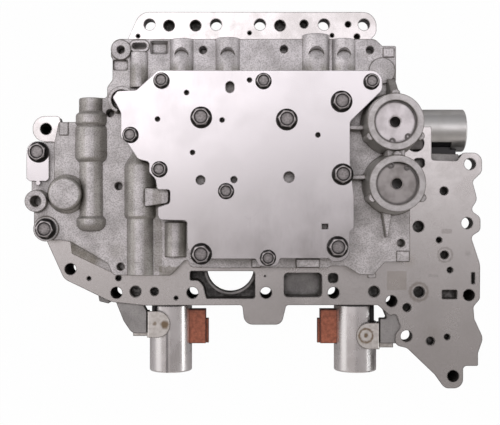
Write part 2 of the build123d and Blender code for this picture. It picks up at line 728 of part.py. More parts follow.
with BuildPart() as lower_body:
    with BuildSketch(Plane.XY.offset(flange_bottom)):
        with BuildLine():
            rounded(plate_outline)
        make_face()
        offset(amount=-edge_inset)
    extrude(amount=flange_thickness)
    with BuildSketch():
        with BuildLine():
            rounded(block_outline)
        make_face()
    extrude(amount=flange_bottom)
    with BuildSketch():
        with BuildLine():
            rounded(block_outline)
        make_face()
        offset(amount=-block_wall)
        for rib_y in rib_ys:
            with Locations((0, rib_y)):
                Rectangle(rib_reach, rib_width, mode=Mode.SUBTRACT)
        for rib_x in rib_xs:
            with Locations((rib_x, 0)):
                Rectangle(rib_width, rib_reach, mode=Mode.SUBTRACT)
        with Locations(neck_centre):
            Circle(neck_collar_r, mode=Mode.SUBTRACT)
        with Locations(window_floor_centre):
            Rectangle(*window_floor_size, mode=Mode.SUBTRACT)
        with Locations(pocket_centre):
            Rectangle(pocket_size[0] + 2 * pocket_wall, pocket_size[1] + 2 * pocket_wall, mode=Mode.SUBTRACT)
        Circle(rest_pad_r, mode=Mode.SUBTRACT)
    extrude(amount=flange_bottom, mode=Mode.SUBTRACT)
    with BuildSketch():
        with Locations(*deep_columns):
            Circle(column_r)
        with Locations(*bolt_columns):
            Circle(bolt_column_r)
    extrude(amount=flange_bottom)
    with BuildSketch(Plane.XY.offset(flange_bottom - lobe_boss_rise)):
        with Locations(*shallow_columns):
            Circle(column_r)
    extrude(amount=lobe_boss_rise)
    with BuildSketch(Plane.XY.offset(fin_bottom)):
        with BuildLine():
            rounded(fin_outline)
        make_face()
    extrude(amount=flange_bottom - fin_bottom)
    for solenoid in solenoids:
        with BuildSketch(solenoid.plane()):
            Circle(barrel_r)
        extrude(amount=-(sleeve_length + barrel_end_wall))
    with BuildSketch(Plane.XY.offset(flange_bottom)):
        with BuildLine():
            rounded(left_lug_outline)
        make_face()
        with BuildLine():
            rounded(right_lug_outline)
        make_face()
    extrude(amount=strap_top - flange_bottom)
    with BuildSketch(Plane.XY.offset(flange_bottom)):
        with BuildLine():
            rounded(can_ledge_outline)
        make_face()
    extrude(amount=flange_thickness - can_ledge_drop)
    add(lower_cuts.part, mode=Mode.SUBTRACT)
write(lower_body, "lower_body")

# Upper casting: slab, table under the cover plate, valve bosses and accumulator housings
rim_r = accumulator_bore_r + accumulator_wall
housing_foot_r = rim_r + rim_height * tan(radians(accumulator_draft))
(upper_x, upper_y), (lower_x, lower_y) = accumulator_centres.values()
with BuildPart() as upper_cuts:
    for valve in valves:
        mouth = valve.plane()
        with BuildSketch(mouth):
            Circle(valve.bore_r + running_gap)
        extrude(amount=valve.depth)
        with BuildSketch(valve.level_plane(plate_top)):
            with Locations((0, keeper_place)):
                Rectangle(2 * valve.keeper_half_width() + hole_gap, keeper_thickness + touch_gap)
        extrude(amount=valve.keeper_top() + touch_gap - plate_top)
        with BuildSketch(valve.level_plane(plate_top)):
            for start, end in valve.grooves():
                with Locations((0, (start + end) / 2)):
                    Rectangle(2 * (valve.bore_r + valve_port_margin), end - start)
        extrude(amount=bore_z - plate_top)
    for valve in top_valves:
        with BuildSketch(valve.crescent_plane()):
            Circle(valve_bosses[valve.name][0][0] * crescent_share)
        extrude(amount=valve.bore_r)
    for x, y in accumulator_centres.values():
        with BuildSketch(Plane((x, y, plate_top + accumulator_floor))):
            Circle(accumulator_bore_r)
        extrude(amount=rim_height - accumulator_floor)
        with BuildSketch(Plane((x, y, rim_top - cap_drop))):
            Circle(accumulator_bore_r + ring_groove_depth)
        extrude(amount=ring_thickness + running_gap)
        with BuildSketch(Plane((x, y, plate_top))):
            Circle(accumulator_port_r)
        extrude(amount=accumulator_floor)
    with BuildSketch(Plane.XY.offset(plate_top)):
        with Locations(*large_bolts, bracket_bolt, casting_bolt):
            Circle(large_shank_r + hole_gap)
        with Locations(slot_lug_centre):
            SlotOverall(*slot_size)
    extrude(amount=seat_height)
    with BuildSketch(Plane.XY.offset(seat_top)):
        with Locations(*small_bolts):
            Circle(small_shank_r + running_gap)
    extrude(amount=cover_thickness - small_bolt_length - bolt_end_gap)
    with BuildSketch(Plane.XY.offset(seat_top)):
        for hole_r, places in cover_holes.items():
            with Locations(*places):
                Circle(hole_r + cover_recess_margin)
        with Locations(cover_oval):
            Circle(cover_oval_size[0] / 2 + cover_recess_margin)
        with Locations(cover_window):
            Circle(cover_window_size[0] / 2 + cover_recess_margin)
    extrude(amount=-cover_recess_depth)
    with BuildSketch(Plane.XY.offset(web_top)):
        with Locations(*web_holes):
            Circle(web_hole_r)
        with Locations(recess_centre):
            RectangleRounded(*recess_size, small_corner)
    extrude(amount=-recess_depth)
    with BuildSketch(Plane.XY.offset(web_top - web_hole_depth)):
        with Locations(*web_holes, ear_centre):
            Circle(web_hole_r)
    extrude(amount=web_hole_depth + ear_rise)
    with BuildSketch(Plane.XY.offset(web_top)):
        with Locations(tray_centre):
            RectangleRounded(*tray_size, small_corner)
    extrude(amount=-tray_depth, taper=tray_taper)
    with BuildSketch(Plane.XY.offset(plate_top + tube_height)):
        with Locations(tube_centre):
            Circle(tube_bore_r)
    extrude(amount=-tube_bore_depth)
    with BuildSketch(Plane.XY.offset(plate_top)):
        with Locations(*ball_places):
            Circle(ball_r + ball_pocket_gap)
    extrude(amount=2 * ball_r + ball_pocket_gap)
    with BuildSketch(Plane.XY.offset(plate_top)):
        with Locations(*dowel_places):
            Circle(dowel_r + running_gap)
    extrude(amount=lower_height + dowel_length / 2 + touch_gap - plate_top)
with BuildPart() as upper_body:
    with BuildSketch(Plane.XY.offset(plate_top)):
        with BuildLine():
            rounded(slab_outline)
        make_face()
    extrude(amount=web_height)
    with BuildSketch(Plane.XY.offset(plate_top)):
        with BuildLine():
            rounded(left_ledge_outline)
        make_face()
        with BuildLine():
            rounded(wedge_outline)
        make_face()
    extrude(amount=ledge_height)
    with BuildSketch(Plane.XY.offset(plate_top)):
        with BuildLine():
            rounded(cover_outline)
        make_face()
        offset(amount=-cover_margin)
    extrude(amount=seat_height)
    for valve in valves:
        corners = valve_bosses[valve.name]
        with BuildSketch(valve.profile_plane()):
            with BuildLine():
                rounded([(0, 0, 0), *corners, (0, corners[-1][1], 0)])
            make_face()
        revolve(axis=valve.axis())
    for x, y in accumulator_centres.values():
        with BuildSketch(Plane((x, y, plate_top))):
            Circle(housing_foot_r)
        extrude(amount=rim_height, taper=accumulator_draft)
        with BuildSketch(Plane((x, y, plate_top))):
            for angle in rim_lug_angles:
                with PolarLocations(rim_r, 1, start_angle=angle):
                    Circle(rim_lug_r)
        extrude(amount=rim_height - rim_lug_drop)
    with BuildSketch(Plane(((upper_x + lower_x) / 2, (upper_y + lower_y) / 2, plate_top))):
        Rectangle(rim_bridge_width, upper_y - lower_y - 2 * accumulator_bore_r)
    extrude(amount=rim_height - rim_bridge_drop)
    with BuildSketch(Plane.YZ.offset(upper_x)):
        with Locations((0, plate_top)):
            Polygon(*strut_rib, align=None)
    extrude(amount=strut_rib_width / 2, both=True)
    with BuildSketch(Plane.XY.offset(web_top)):
        for x, y, length in struts:
            with Locations((x, y)):
                Rectangle(length, strut_width)
    extrude(amount=strut_height)
    with BuildSketch(Plane.XY.offset(plate_top)):
        with Locations(ear_centre):
            Circle(ear_r)
    extrude(amount=web_height + ear_rise)
    with BuildSketch(Plane.XY.offset(web_top)):
        with Locations(slot_lug_centre):
            RectangleRounded(*slot_lug_size, slot_lug_corner)
    extrude(amount=slot_lug_rise)
    with BuildSketch(Plane.XY.offset(web_top)):
        for place, size in pads.items():
            with Locations(place):
                Rectangle(*size)
    extrude(amount=pad_rise)
    with BuildSketch(Plane.XY.offset(web_top)):
        for place, size in step_pads.items():
            with Locations(place):
                Rectangle(*size)
    extrude(amount=step_pad_rise)
    with BuildSketch(Plane.XY.offset(web_top)):
        with Locations(disc_centre):
            Circle(disc_r)
    extrude(amount=disc_rise)
    with BuildSketch(Plane.XY.offset(web_top)):
        with Locations(casting_bolt):
            Circle(seat_ring_r)
    extrude(amount=seat_ring_rise)
    with BuildSketch(Plane.XY.offset(web_top)):
        with Locations(left_disc_centre):
            Circle(left_disc_foot_r)
    extrude(amount=left_disc_foot_rise, taper=left_disc_taper)
    with BuildSketch(Plane.XY.offset(web_top)):
        with Locations(left_disc_centre):
            Circle(left_disc_r)
    extrude(amount=left_disc_rise)
    fillet(edges(Select.LAST).group_by(Axis.Z)[-1], radius=left_disc_round)
    with BuildSketch(Plane.XY.offset(plate_top)):
        with Locations(tube_centre):
            Circle(tube_r)
    extrude(amount=tube_height)
    with BuildSketch(Plane.XY.offset(web_top)):
        with BuildLine() as ridge_arc:
            CenterArc(ridge_centre, ridge_r, ridge_start, ridge_sweep)
        trace(ridge_arc.line, ridge_width)
    extrude(amount=seat_height - web_height - ridge_drop)
    with BuildSketch(Plane.XY.offset(web_top)):
        with BuildLine():
            rounded(notch_lug_outline)
        make_face()
    extrude(amount=notch_lug_rise)
    with BuildSketch(Plane.XY.offset(web_top)):
        with BuildLine():
            rounded(point_rib_outline)
        make_face()
    extrude(amount=point_rib_rise)
    with BuildSketch(Plane.XY.offset(plate_top)):
        with Locations(foot_lug_centre):
            Rectangle(*foot_lug_size)
    extrude(amount=foot_lug_rise)
    for x, (start, end), z, radius in (
        (rib_boss_x, rib_boss_ys, web_top - rib_boss_drop, rib_boss_r),
        (short_boss_x, short_boss_ys, bore_z, short_boss_r),
    ):
        with BuildSketch(Plane(origin=(x, start, z), x_dir=(1, 0, 0), z_dir=(0, 1, 0))):
            Circle(radius)
        extrude(amount=end - start)
    add(upper_cuts.part, mode=Mode.SUBTRACT)
write(upper_body, "upper_body")

# Cover plate
with BuildPart() as cover_plate:
    with BuildSketch(Plane.XY.offset(seat_top)):
        with BuildLine():
            rounded(cover_outline)
        make_face()
        with Locations(*large_bolts):
            Circle(large_shank_r + hole_gap, mode=Mode.SUBTRACT)
        with Locations(*small_bolts):
            Circle(small_shank_r + hole_gap, mode=Mode.SUBTRACT)
        for hole_r, places in cover_holes.items():
            with Locations(*places):
                Circle(hole_r, mode=Mode.SUBTRACT)
        with Locations(cover_oval):
            SlotOverall(*cover_oval_size, rotation=90, mode=Mode.SUBTRACT)
        with Locations(cover_window):
            Rectangle(*cover_window_size, mode=Mode.SUBTRACT)
    extrude(amount=cover_thickness)
write(cover_plate, "cover_plate")

# Bracket at the left edge
with BuildPart() as side_bracket:
    with BuildSketch(Plane.XY.offset(ledge_top)):
        with BuildLine():
            rounded(bracket_outline)
        make_face()
        with Locations(bracket_nose):
            Circle(bracket_nose_r)
        with Locations(bracket_bolt):
            Circle(large_shank_r + hole_gap, mode=Mode.SUBTRACT)
    extrude(amount=bracket_thickness)
write(side_bracket, "side_bracket")

# Bolts
large_head = (large_shank_r, large_flange_r, large_hex_across, large_head_height)
small_head = (small_shank_r, small_flange_r, small_hex_across, small_head_height)
side_seats = upright([bracket_bolt], bracket_seat) + upright([casting_bolt], casting_seat)
strap_seats = [solenoid.strap_bolt() for solenoid in solenoids]
write(flange_bolts(upright(large_bolts, cover_top), *large_head, large_bolt_length), "cover_bolts_large")
write(flange_bolts(upright(small_bolts, cover_top), *small_head, small_bolt_length), "cover_bolts_small")
write(flange_bolts(side_seats, *large_head, side_bolt_length), "side_bolts")
write(flange_bolts(strap_seats, *small_head, strap_bolt_length), "strap_bolts")

# Spool valves: a spool with lands and a nose, a spring, and an end plug with a neck for its keeper
for valve in valves:
    mouth = valve.plane()
    stem_r = valve.bore_r * spool_stem_share
    edges_in = [valve.spool_start(), *[edge for groove in valve.grooves() for edge in groove]]
    lands = [(start, end, valve.bore_r) for start, end in zip(edges_in[::2], edges_in[1::2])]
    stem = (valve.spool_start(), valve.spool_end(), stem_r)
    write(turned(mouth, [stem, *lands]), f"{valve.name}_spool")
    plug_end = plug_recess + plug_length
    neck_r = valve.bore_r - keeper_neck
    neck_start = keeper_place - keeper_thickness / 2 - touch_gap / 2
    neck_end = keeper_place + keeper_thickness / 2 + touch_gap / 2
    plug_steps = [
        (plug_recess, neck_start, valve.bore_r),
        (neck_start, neck_end, neck_r),
        (neck_end, plug_end, valve.bore_r),
    ]
    dimple = (plug_recess, plug_recess + plug_dimple_depth, plug_dimple_r)
    write(turned(mouth, plug_steps, [dimple]), f"{valve.name}_plug")
    coil_r = valve.bore_r - valve_wire_r - valve_coil_gap
    turns = round(valve.spring_length / valve_coil_pitch)
    spring = coil_spring(mouth, plug_end, valve.spool_start(), coil_r, valve_wire_r, turns)
    write(spring, f"{valve.name}_spring")

# Keeper plates: each stands on the separator plate astride the neck of a plug
with BuildPart() as valve_keepers:
    for valve in valves:
        neck_width = 2 * (valve.bore_r - keeper_neck + touch_gap)
        with BuildSketch(valve.level_plane(plate_top)):
            with Locations((0, keeper_place)):
                Rectangle(2 * valve.keeper_half_width(), keeper_thickness)
        extrude(amount=valve.keeper_top() - plate_top)
        with BuildSketch(valve.level_plane(bore_z - valve.bore_r)):
            with Locations((0, keeper_place)):
                Rectangle(neck_width, keeper_thickness)
        extrude(amount=2 * valve.bore_r, mode=Mode.SUBTRACT)
write(valve_keepers, "valve_keepers")

# Accumulator pieces: a cup piston with a seal ring, its spring, a cap, and the snap ring that holds the cap
for side, (x, y) in accumulator_centres.items():
    floor = Plane((x, y, plate_top + accumulator_floor + piston_gap))
    piston_r = accumulator_bore_r - running_gap
    cap_start = rim_top - cap_drop - cap_thickness - floor.origin.Z
    groove_end = seal_start + seal_width
    piston_steps = [
        (0, seal_start, piston_r),
        (seal_start, groove_end, piston_r - seal_depth),
        (groove_end, piston_height, piston_r),
    ]
    cup = (piston_floor, piston_height, piston_r - piston_wall)
    write(turned(floor, piston_steps, [cup]), f"{side}_accumulator_piston")
    seal = (seal_start + running_gap, groove_end - running_gap, piston_r)
    seal_bore = (seal_start, groove_end, piston_r - seal_depth + running_gap)
    write(turned(floor, [seal], [seal_bore]), f"{side}_accumulator_seal")
    spring = coil_spring(
        floor, piston_floor, cap_start, accumulator_coil_r, accumulator_wire_r, accumulator_turns
    )
    write(spring, f"{side}_accumulator_spring")
    cap = (cap_start, cap_start + cap_thickness, accumulator_bore_r - cap_gap)
    vent = (cap_start, cap_start + cap_thickness, cap_vent_r)
    write(turned(floor, [cap], [vent]), f"{side}_accumulator_cap")
    ring_r = accumulator_bore_r + ring_groove_depth - touch_gap
    gap_centre = ring_gap_centres[side]
    with BuildPart() as snap_ring:
        with BuildSketch(floor.offset(cap_start + cap_thickness)):
            with BuildLine() as ring_arc:
                start = gap_centre + ring_gap_angle
                CenterArc((0, 0), ring_r - ring_width / 2, start, 360 - 2 * ring_gap_angle)
            trace(ring_arc.line, ring_width)
            for angle in (gap_centre - ring_gap_angle, gap_centre + ring_gap_angle):
                with PolarLocations(ring_r - ring_eye_r, 1, start_angle=angle):
                    Circle(ring_eye_r)
                    Circle(ring_eye_hole_r, mode=Mode.SUBTRACT)
        extrude(amount=ring_thickness)
    write(snap_ring, f"{side}_snap_ring")

# Solenoids: a sleeve in the casting, its spool on the plunger, a return spring, the coil body and the can
for solenoid in solenoids:
    mouth = solenoid.plane()
    grooves = [(-port - sleeve_port_width, -port) for port in sleeve_ports]
    sleeve_blank = turned(
        mouth,
        [(-sleeve_length, 0, sleeve_r), (0, sleeve_head_length, sleeve_head_r)],
        [(sleeve_end_wall - sleeve_length, sleeve_head_length, sleeve_bore_r + running_gap)],
    )
    with BuildPart() as sleeve:
        add(sleeve_blank.part)
        for start, end in grooves:
            with BuildSketch(mouth.offset(start)):
                Circle(sleeve_r)
                Circle(sleeve_r - sleeve_port_depth, mode=Mode.SUBTRACT)
            extrude(amount=end - start, mode=Mode.SUBTRACT)
            across = solenoid.across((start + end) / 2, solenoid.strap_side)
            with BuildSketch(Plane(origin=across.origin, z_dir=across.x_dir)):
                Circle(sleeve_port_hole_r)
            extrude(amount=sleeve_r, both=True, mode=Mode.SUBTRACT)
    write(sleeve, f"{solenoid.name}_sleeve")

    spool_start = sleeve_end_wall + solenoid_spring_length - sleeve_length
    pitch = (-solenoid_land_end - spool_start) / solenoid_lands
    starts = [spool_start + pitch * land for land in range(solenoid_lands)]
    plunger_steps = [
        (spool_start, -solenoid_land_end, solenoid_stem_r),
        *[(start, start + pitch * spool_land_share, sleeve_bore_r) for start in starts],
        (-solenoid_land_end, plunger_start, rod_r),
        (plunger_start, plunger_end, plunger_r),
    ]
    write(turned(mouth, plunger_steps), f"{solenoid.name}_plunger")
    spring = coil_spring(
        mouth, sleeve_end_wall - sleeve_length, spool_start,
        sleeve_bore_r - solenoid_wire_r - hole_gap, solenoid_wire_r, solenoid_turns,
    )
    write(spring, f"{solenoid.name}_spring")

    coil_r = can_r - can_wall - coil_gap
    coil_blank = turned(
        mouth,
        [(touch_gap, sleeve_head_length, collar_r), (sleeve_head_length, coil_end, coil_r)],
        [
            (touch_gap, sleeve_head_length, collar_bore_r),
            (sleeve_head_length, coil_bore_start, rod_r + rod_gap),
            (coil_bore_start, coil_bore_end, plunger_r + running_gap),
        ],
    )
    connector_middle = solenoid.connector_start + connector_length / 2
    connector_end = solenoid.connector_start + connector_length
    rib_length = connector_length - connector_rib_start
    socket_start = can_r + socket_wall
    with BuildPart() as coil:
        add(coil_blank.part)
        with BuildSketch(solenoid.across(connector_middle, solenoid.connector_side)):
            with Locations(((connector_root + connector_reach) / 2, 0)):
                Rectangle(connector_reach - connector_root, connector_width)
        extrude(amount=connector_length / 2, both=True)
        with BuildSketch(solenoid.across(connector_end - rib_length / 2, solenoid.connector_side)):
            with Locations((connector_reach + connector_rib_rise / 2, 0)):
                Rectangle(connector_rib_rise, connector_rib_width)
        extrude(amount=rib_length / 2, both=True)
        with BuildSketch(solenoid.across(connector_end - socket_depth / 2, solenoid.connector_side)):
            with Locations(((socket_start + connector_reach - socket_wall) / 2, 0)):
                Rectangle(connector_reach - socket_wall - socket_start, connector_width - 2 * socket_wall)
        extrude(amount=socket_depth / 2, both=True, mode=Mode.SUBTRACT)
    write(coil, f"{solenoid.name}_coil")

    with BuildPart() as can:
        with BuildSketch(mouth.offset(can_start)):
            Circle(can_r)
        extrude(amount=can_end - can_start)
        fillet(edges().sort_by(Axis(mouth.origin, mouth.z_dir))[-1], radius=can_corner)
        with BuildSketch(mouth.offset(can_start)):
            Circle(can_r - can_wall)
        extrude(amount=can_end - can_end_wall - can_start, mode=Mode.SUBTRACT)
        for side, start, length, reach, half_width in (
            (solenoid.connector_side, solenoid.connector_start, connector_length, connector_root,
             connector_width / 2 + touch_gap),
            (solenoid.notch_side, solenoid.notch_start, solenoid.notch_length, notch_reach, can_r),
        ):
            with BuildSketch(solenoid.across(start + length / 2, side)):
                with Locations(((reach + can_r) / 2, 0)):
                    Rectangle(can_r - reach, 2 * half_width)
            extrude(amount=length / 2 + touch_gap, both=True, mode=Mode.SUBTRACT)
    write(can, f"{solenoid.name}_can")

    middle = solenoid.across(solenoid.strap_start + solenoid.strap_width / 2, solenoid.strap_side)
    low = can_r + touch_gap
    high = low + strap_thickness
    foot = solenoid.strap_bolt().origin.Z - solenoid_axis_z
    foot_top = foot + strap_thickness
    leg = lug_reach - touch_gap
    leg_inner = leg - strap_thickness
    foot_end = leg + strap_foot_length
    outer_bend = strap_bend_r + strap_thickness
    with BuildPart() as strap:
        with BuildSketch(middle):
            with BuildLine():
                rounded([
                    (strap_tip, low, 0), (leg_inner, low, strap_bend_r), (leg_inner, foot, outer_bend),
                    (foot_end, foot, 0), (foot_end, foot_top, 0), (leg, foot_top, strap_bend_r),
                    (leg, high, outer_bend), (strap_tip, high, 0),
                ])
            make_face()
        extrude(amount=solenoid.strap_width / 2, both=True)
        across_strap = Axis((0, 0, 0), solenoid.strap_side)
        tip_edges = edges().filter_by(Axis.Z).group_by(across_strap)[0]
        fillet(tip_edges, radius=solenoid.strap_width / 2 - strap_tip_gap)
        with BuildSketch(solenoid.strap_bolt()):
            Circle(small_shank_r + hole_gap)
        extrude(amount=-strap_thickness, mode=Mode.SUBTRACT)
    write(strap, f"{solenoid.name}_strap")

# Check balls and dowels
with BuildPart() as check_balls:
    for x, y in ball_places:
        with Locations((x, y, plate_top + ball_r)):
            Sphere(ball_r)
write(check_balls, "check_balls")

with BuildPart() as dowels:
    with BuildSketch(Plane.XY.offset(lower_height - dowel_length / 2 + touch_gap)):
        with Locations(*dowel_places):
            Circle(dowel_r)
            Circle(dowel_bore_r, mode=Mode.SUBTRACT)
    extrude(amount=dowel_length - touch_gap)
write(dowels, "dowels")
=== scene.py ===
import json
import logging
import math
from dataclasses import dataclass
from enum import Enum

import bmesh
import bpy
from bmesh.types import BMEdge, BMesh
from bpy.types import Material, Mesh, Node, NodeSocket, NodeTree, Object
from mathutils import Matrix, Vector, noise


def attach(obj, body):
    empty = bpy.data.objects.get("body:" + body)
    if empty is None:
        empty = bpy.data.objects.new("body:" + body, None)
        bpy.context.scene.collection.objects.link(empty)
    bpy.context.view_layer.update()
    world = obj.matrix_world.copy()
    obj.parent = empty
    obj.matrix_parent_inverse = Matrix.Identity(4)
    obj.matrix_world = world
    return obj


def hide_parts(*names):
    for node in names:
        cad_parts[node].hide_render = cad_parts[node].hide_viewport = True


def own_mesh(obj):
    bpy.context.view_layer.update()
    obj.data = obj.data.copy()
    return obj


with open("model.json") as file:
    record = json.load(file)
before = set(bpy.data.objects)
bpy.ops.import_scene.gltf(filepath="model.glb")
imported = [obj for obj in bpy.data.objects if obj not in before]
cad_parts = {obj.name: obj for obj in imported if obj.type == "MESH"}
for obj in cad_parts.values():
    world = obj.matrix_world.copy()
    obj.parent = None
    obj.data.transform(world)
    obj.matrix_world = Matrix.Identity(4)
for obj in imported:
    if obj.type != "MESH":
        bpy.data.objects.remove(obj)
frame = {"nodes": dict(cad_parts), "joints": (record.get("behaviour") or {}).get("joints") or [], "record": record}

MM = 0.001
WELD_DISTANCE = 2e-6
WHITE = (1, 1, 1)
TONE = "tone"
log = logging.getLogger("valve_body")

Colour = Point = tuple[float, float, float]
Pair = tuple[float, float]
Value = float | Colour | Point | NodeSocket


class Shape(Enum):
    """The outline of a mark on a surface."""

    SPOT = "spot"
    RING = "ring"
    PATCH = "patch"
    BAND = "band"


class PaintedHighlight(float, Enum):
    """How brightly each ring of a bolt's head is painted, from 0 to 1: painted highlight on the crown, shoulder
    and dish.
    """

    BLACK = 0.0
    CORNER = 0.1
    SHANK = 0.4
    SHOULDER = 0.5
    DISH_OUTER = 0.55
    DISH_INNER = 0.65
    DISH_MIDDLE = 0.7
    CROWN_INSIDE = 0.9
    CROWN = 1.0


class Axis(Enum):
    """The axis of a direction in the sky."""

    X = 0
    Y = 1


@dataclass(frozen=True)
class Mark:
    """A stain, scuff, spotface, or patch of painted shade or painted light on a surface, seen from above.

    Args:
        shape: its outline.
        centre: its middle, X and Y in millimetres.
        size: in millimetres, a patch's two half widths, a ring's radius and width, or a spot's radius or a
            band's half width along Y with the width of its soft edge.
        colour: the colour that it turns the surface.
        strength: how much of that colour shows, from 0 to 1.
        ragged: how uneven its outline is, in millimetres.
    """

    shape: Shape
    centre: Pair
    size: Pair
    colour: Colour
    strength: float
    ragged: float = 1.6


class Nodes:
    """A tree of shader nodes, with short calls for what the finishes, the floor and the sky share."""

    mix_first, mix_second, mix_result = 6, 7, 2

    def __init__(self, tree: NodeTree, place: str) -> None:
        """Starts from a tree and the coordinates that it reads.

        Args:
            tree: the tree.
            place: the output of the Texture Coordinate node.
        """
        self.tree = tree
        self.place = self.node("ShaderNodeTexCoord").outputs[place]

    def node(self, kind: str, **settings: object) -> Node:
        """Adds a node.

        Args:
            kind: its type.
            settings: its properties.

        Returns:
            The node.
        """
        made = self.tree.nodes.new(kind)
        for name, value in settings.items():
            setattr(made, name, value)
        return made

    def feed(self, socket: NodeSocket, value: Value) -> None:
        """Links an output to an input, or sets the input to a plain value.

        Args:
            socket: the input.
            value: another node's output, a number or a colour.
        """
        if isinstance(value, NodeSocket):
            self.tree.links.new(value, socket)
        else:
            socket.default_value = (*value, 1.0) if socket.type == "RGBA" else value

    def calc(self, operation: str, *values: Value) -> NodeSocket:
        """Works out a number from others.

        Args:
            operation: the Math node's operation.
            values: its inputs.

        Returns:
            The result.
        """
        made = self.node("ShaderNodeMath", operation=operation)
        for socket, value in zip(made.inputs, values):
            self.feed(socket, value)
        return made.outputs[0]

    def parts(self, vector: NodeSocket) -> list[NodeSocket]:
        """Splits a vector into X, Y and Z.

        Args:
            vector: the vector.

        Returns:
            Its three parts.
        """
        made = self.node("ShaderNodeSeparateXYZ")
        self.feed(made.inputs[0], vector)
        return list(made.outputs)

    def ease(self, value: Value, start: float, end: float, top: float = 1.0) -> NodeSocket:
        """Turns a value into a smooth step.

        Args:
            value: the value.
            start: where the step is 0.
            end: where the step reaches its top.
            top: its height there.

        Returns:
            A number between 0 and the top.
        """
        made = self.node("ShaderNodeMapRange", interpolation_type="SMOOTHSTEP")
        for socket, number in zip(made.inputs, (value, start, end, 0.0, top)):
            self.feed(socket, number)
        return made.outputs[0]

    def blend(self, share: Value, first: Value, second: Value) -> NodeSocket:
        """Mixes two colours.

        Args:
            share: how much of the second shows.
            first: the colour where the share is 0.
            second: the colour where the share is 1.

        Returns:
            The mixed colour.
        """
        made = self.node("ShaderNodeMix", data_type="RGBA", clamp_factor=True)
        self.feed(made.inputs[0], share)
        self.feed(made.inputs[self.mix_first], first)
        self.feed(made.inputs[self.mix_second], second)
        return made.outputs[self.mix_result]

    def show(self, end: str, others: Value, camera: Value, share: float = 1.0) -> None:
        """Shows one surface to the camera and another to every other ray.

        Args:
            end: the tree's last node.
            others: the surface that other rays meet.
            camera: the surface that the camera sees.
            share: how much of it the camera sees.
        """
        rays = self.node("ShaderNodeLightPath").outputs
        mix = self.node("ShaderNodeMixShader")
        seen = self.calc("MULTIPLY", rays["Is Camera Ray"], share)
        for socket, value in zip(mix.inputs, (seen, others, camera)):
            self.feed(socket, value)
        self.feed(self.tree.nodes[end].inputs["Surface"], mix.outputs[0])


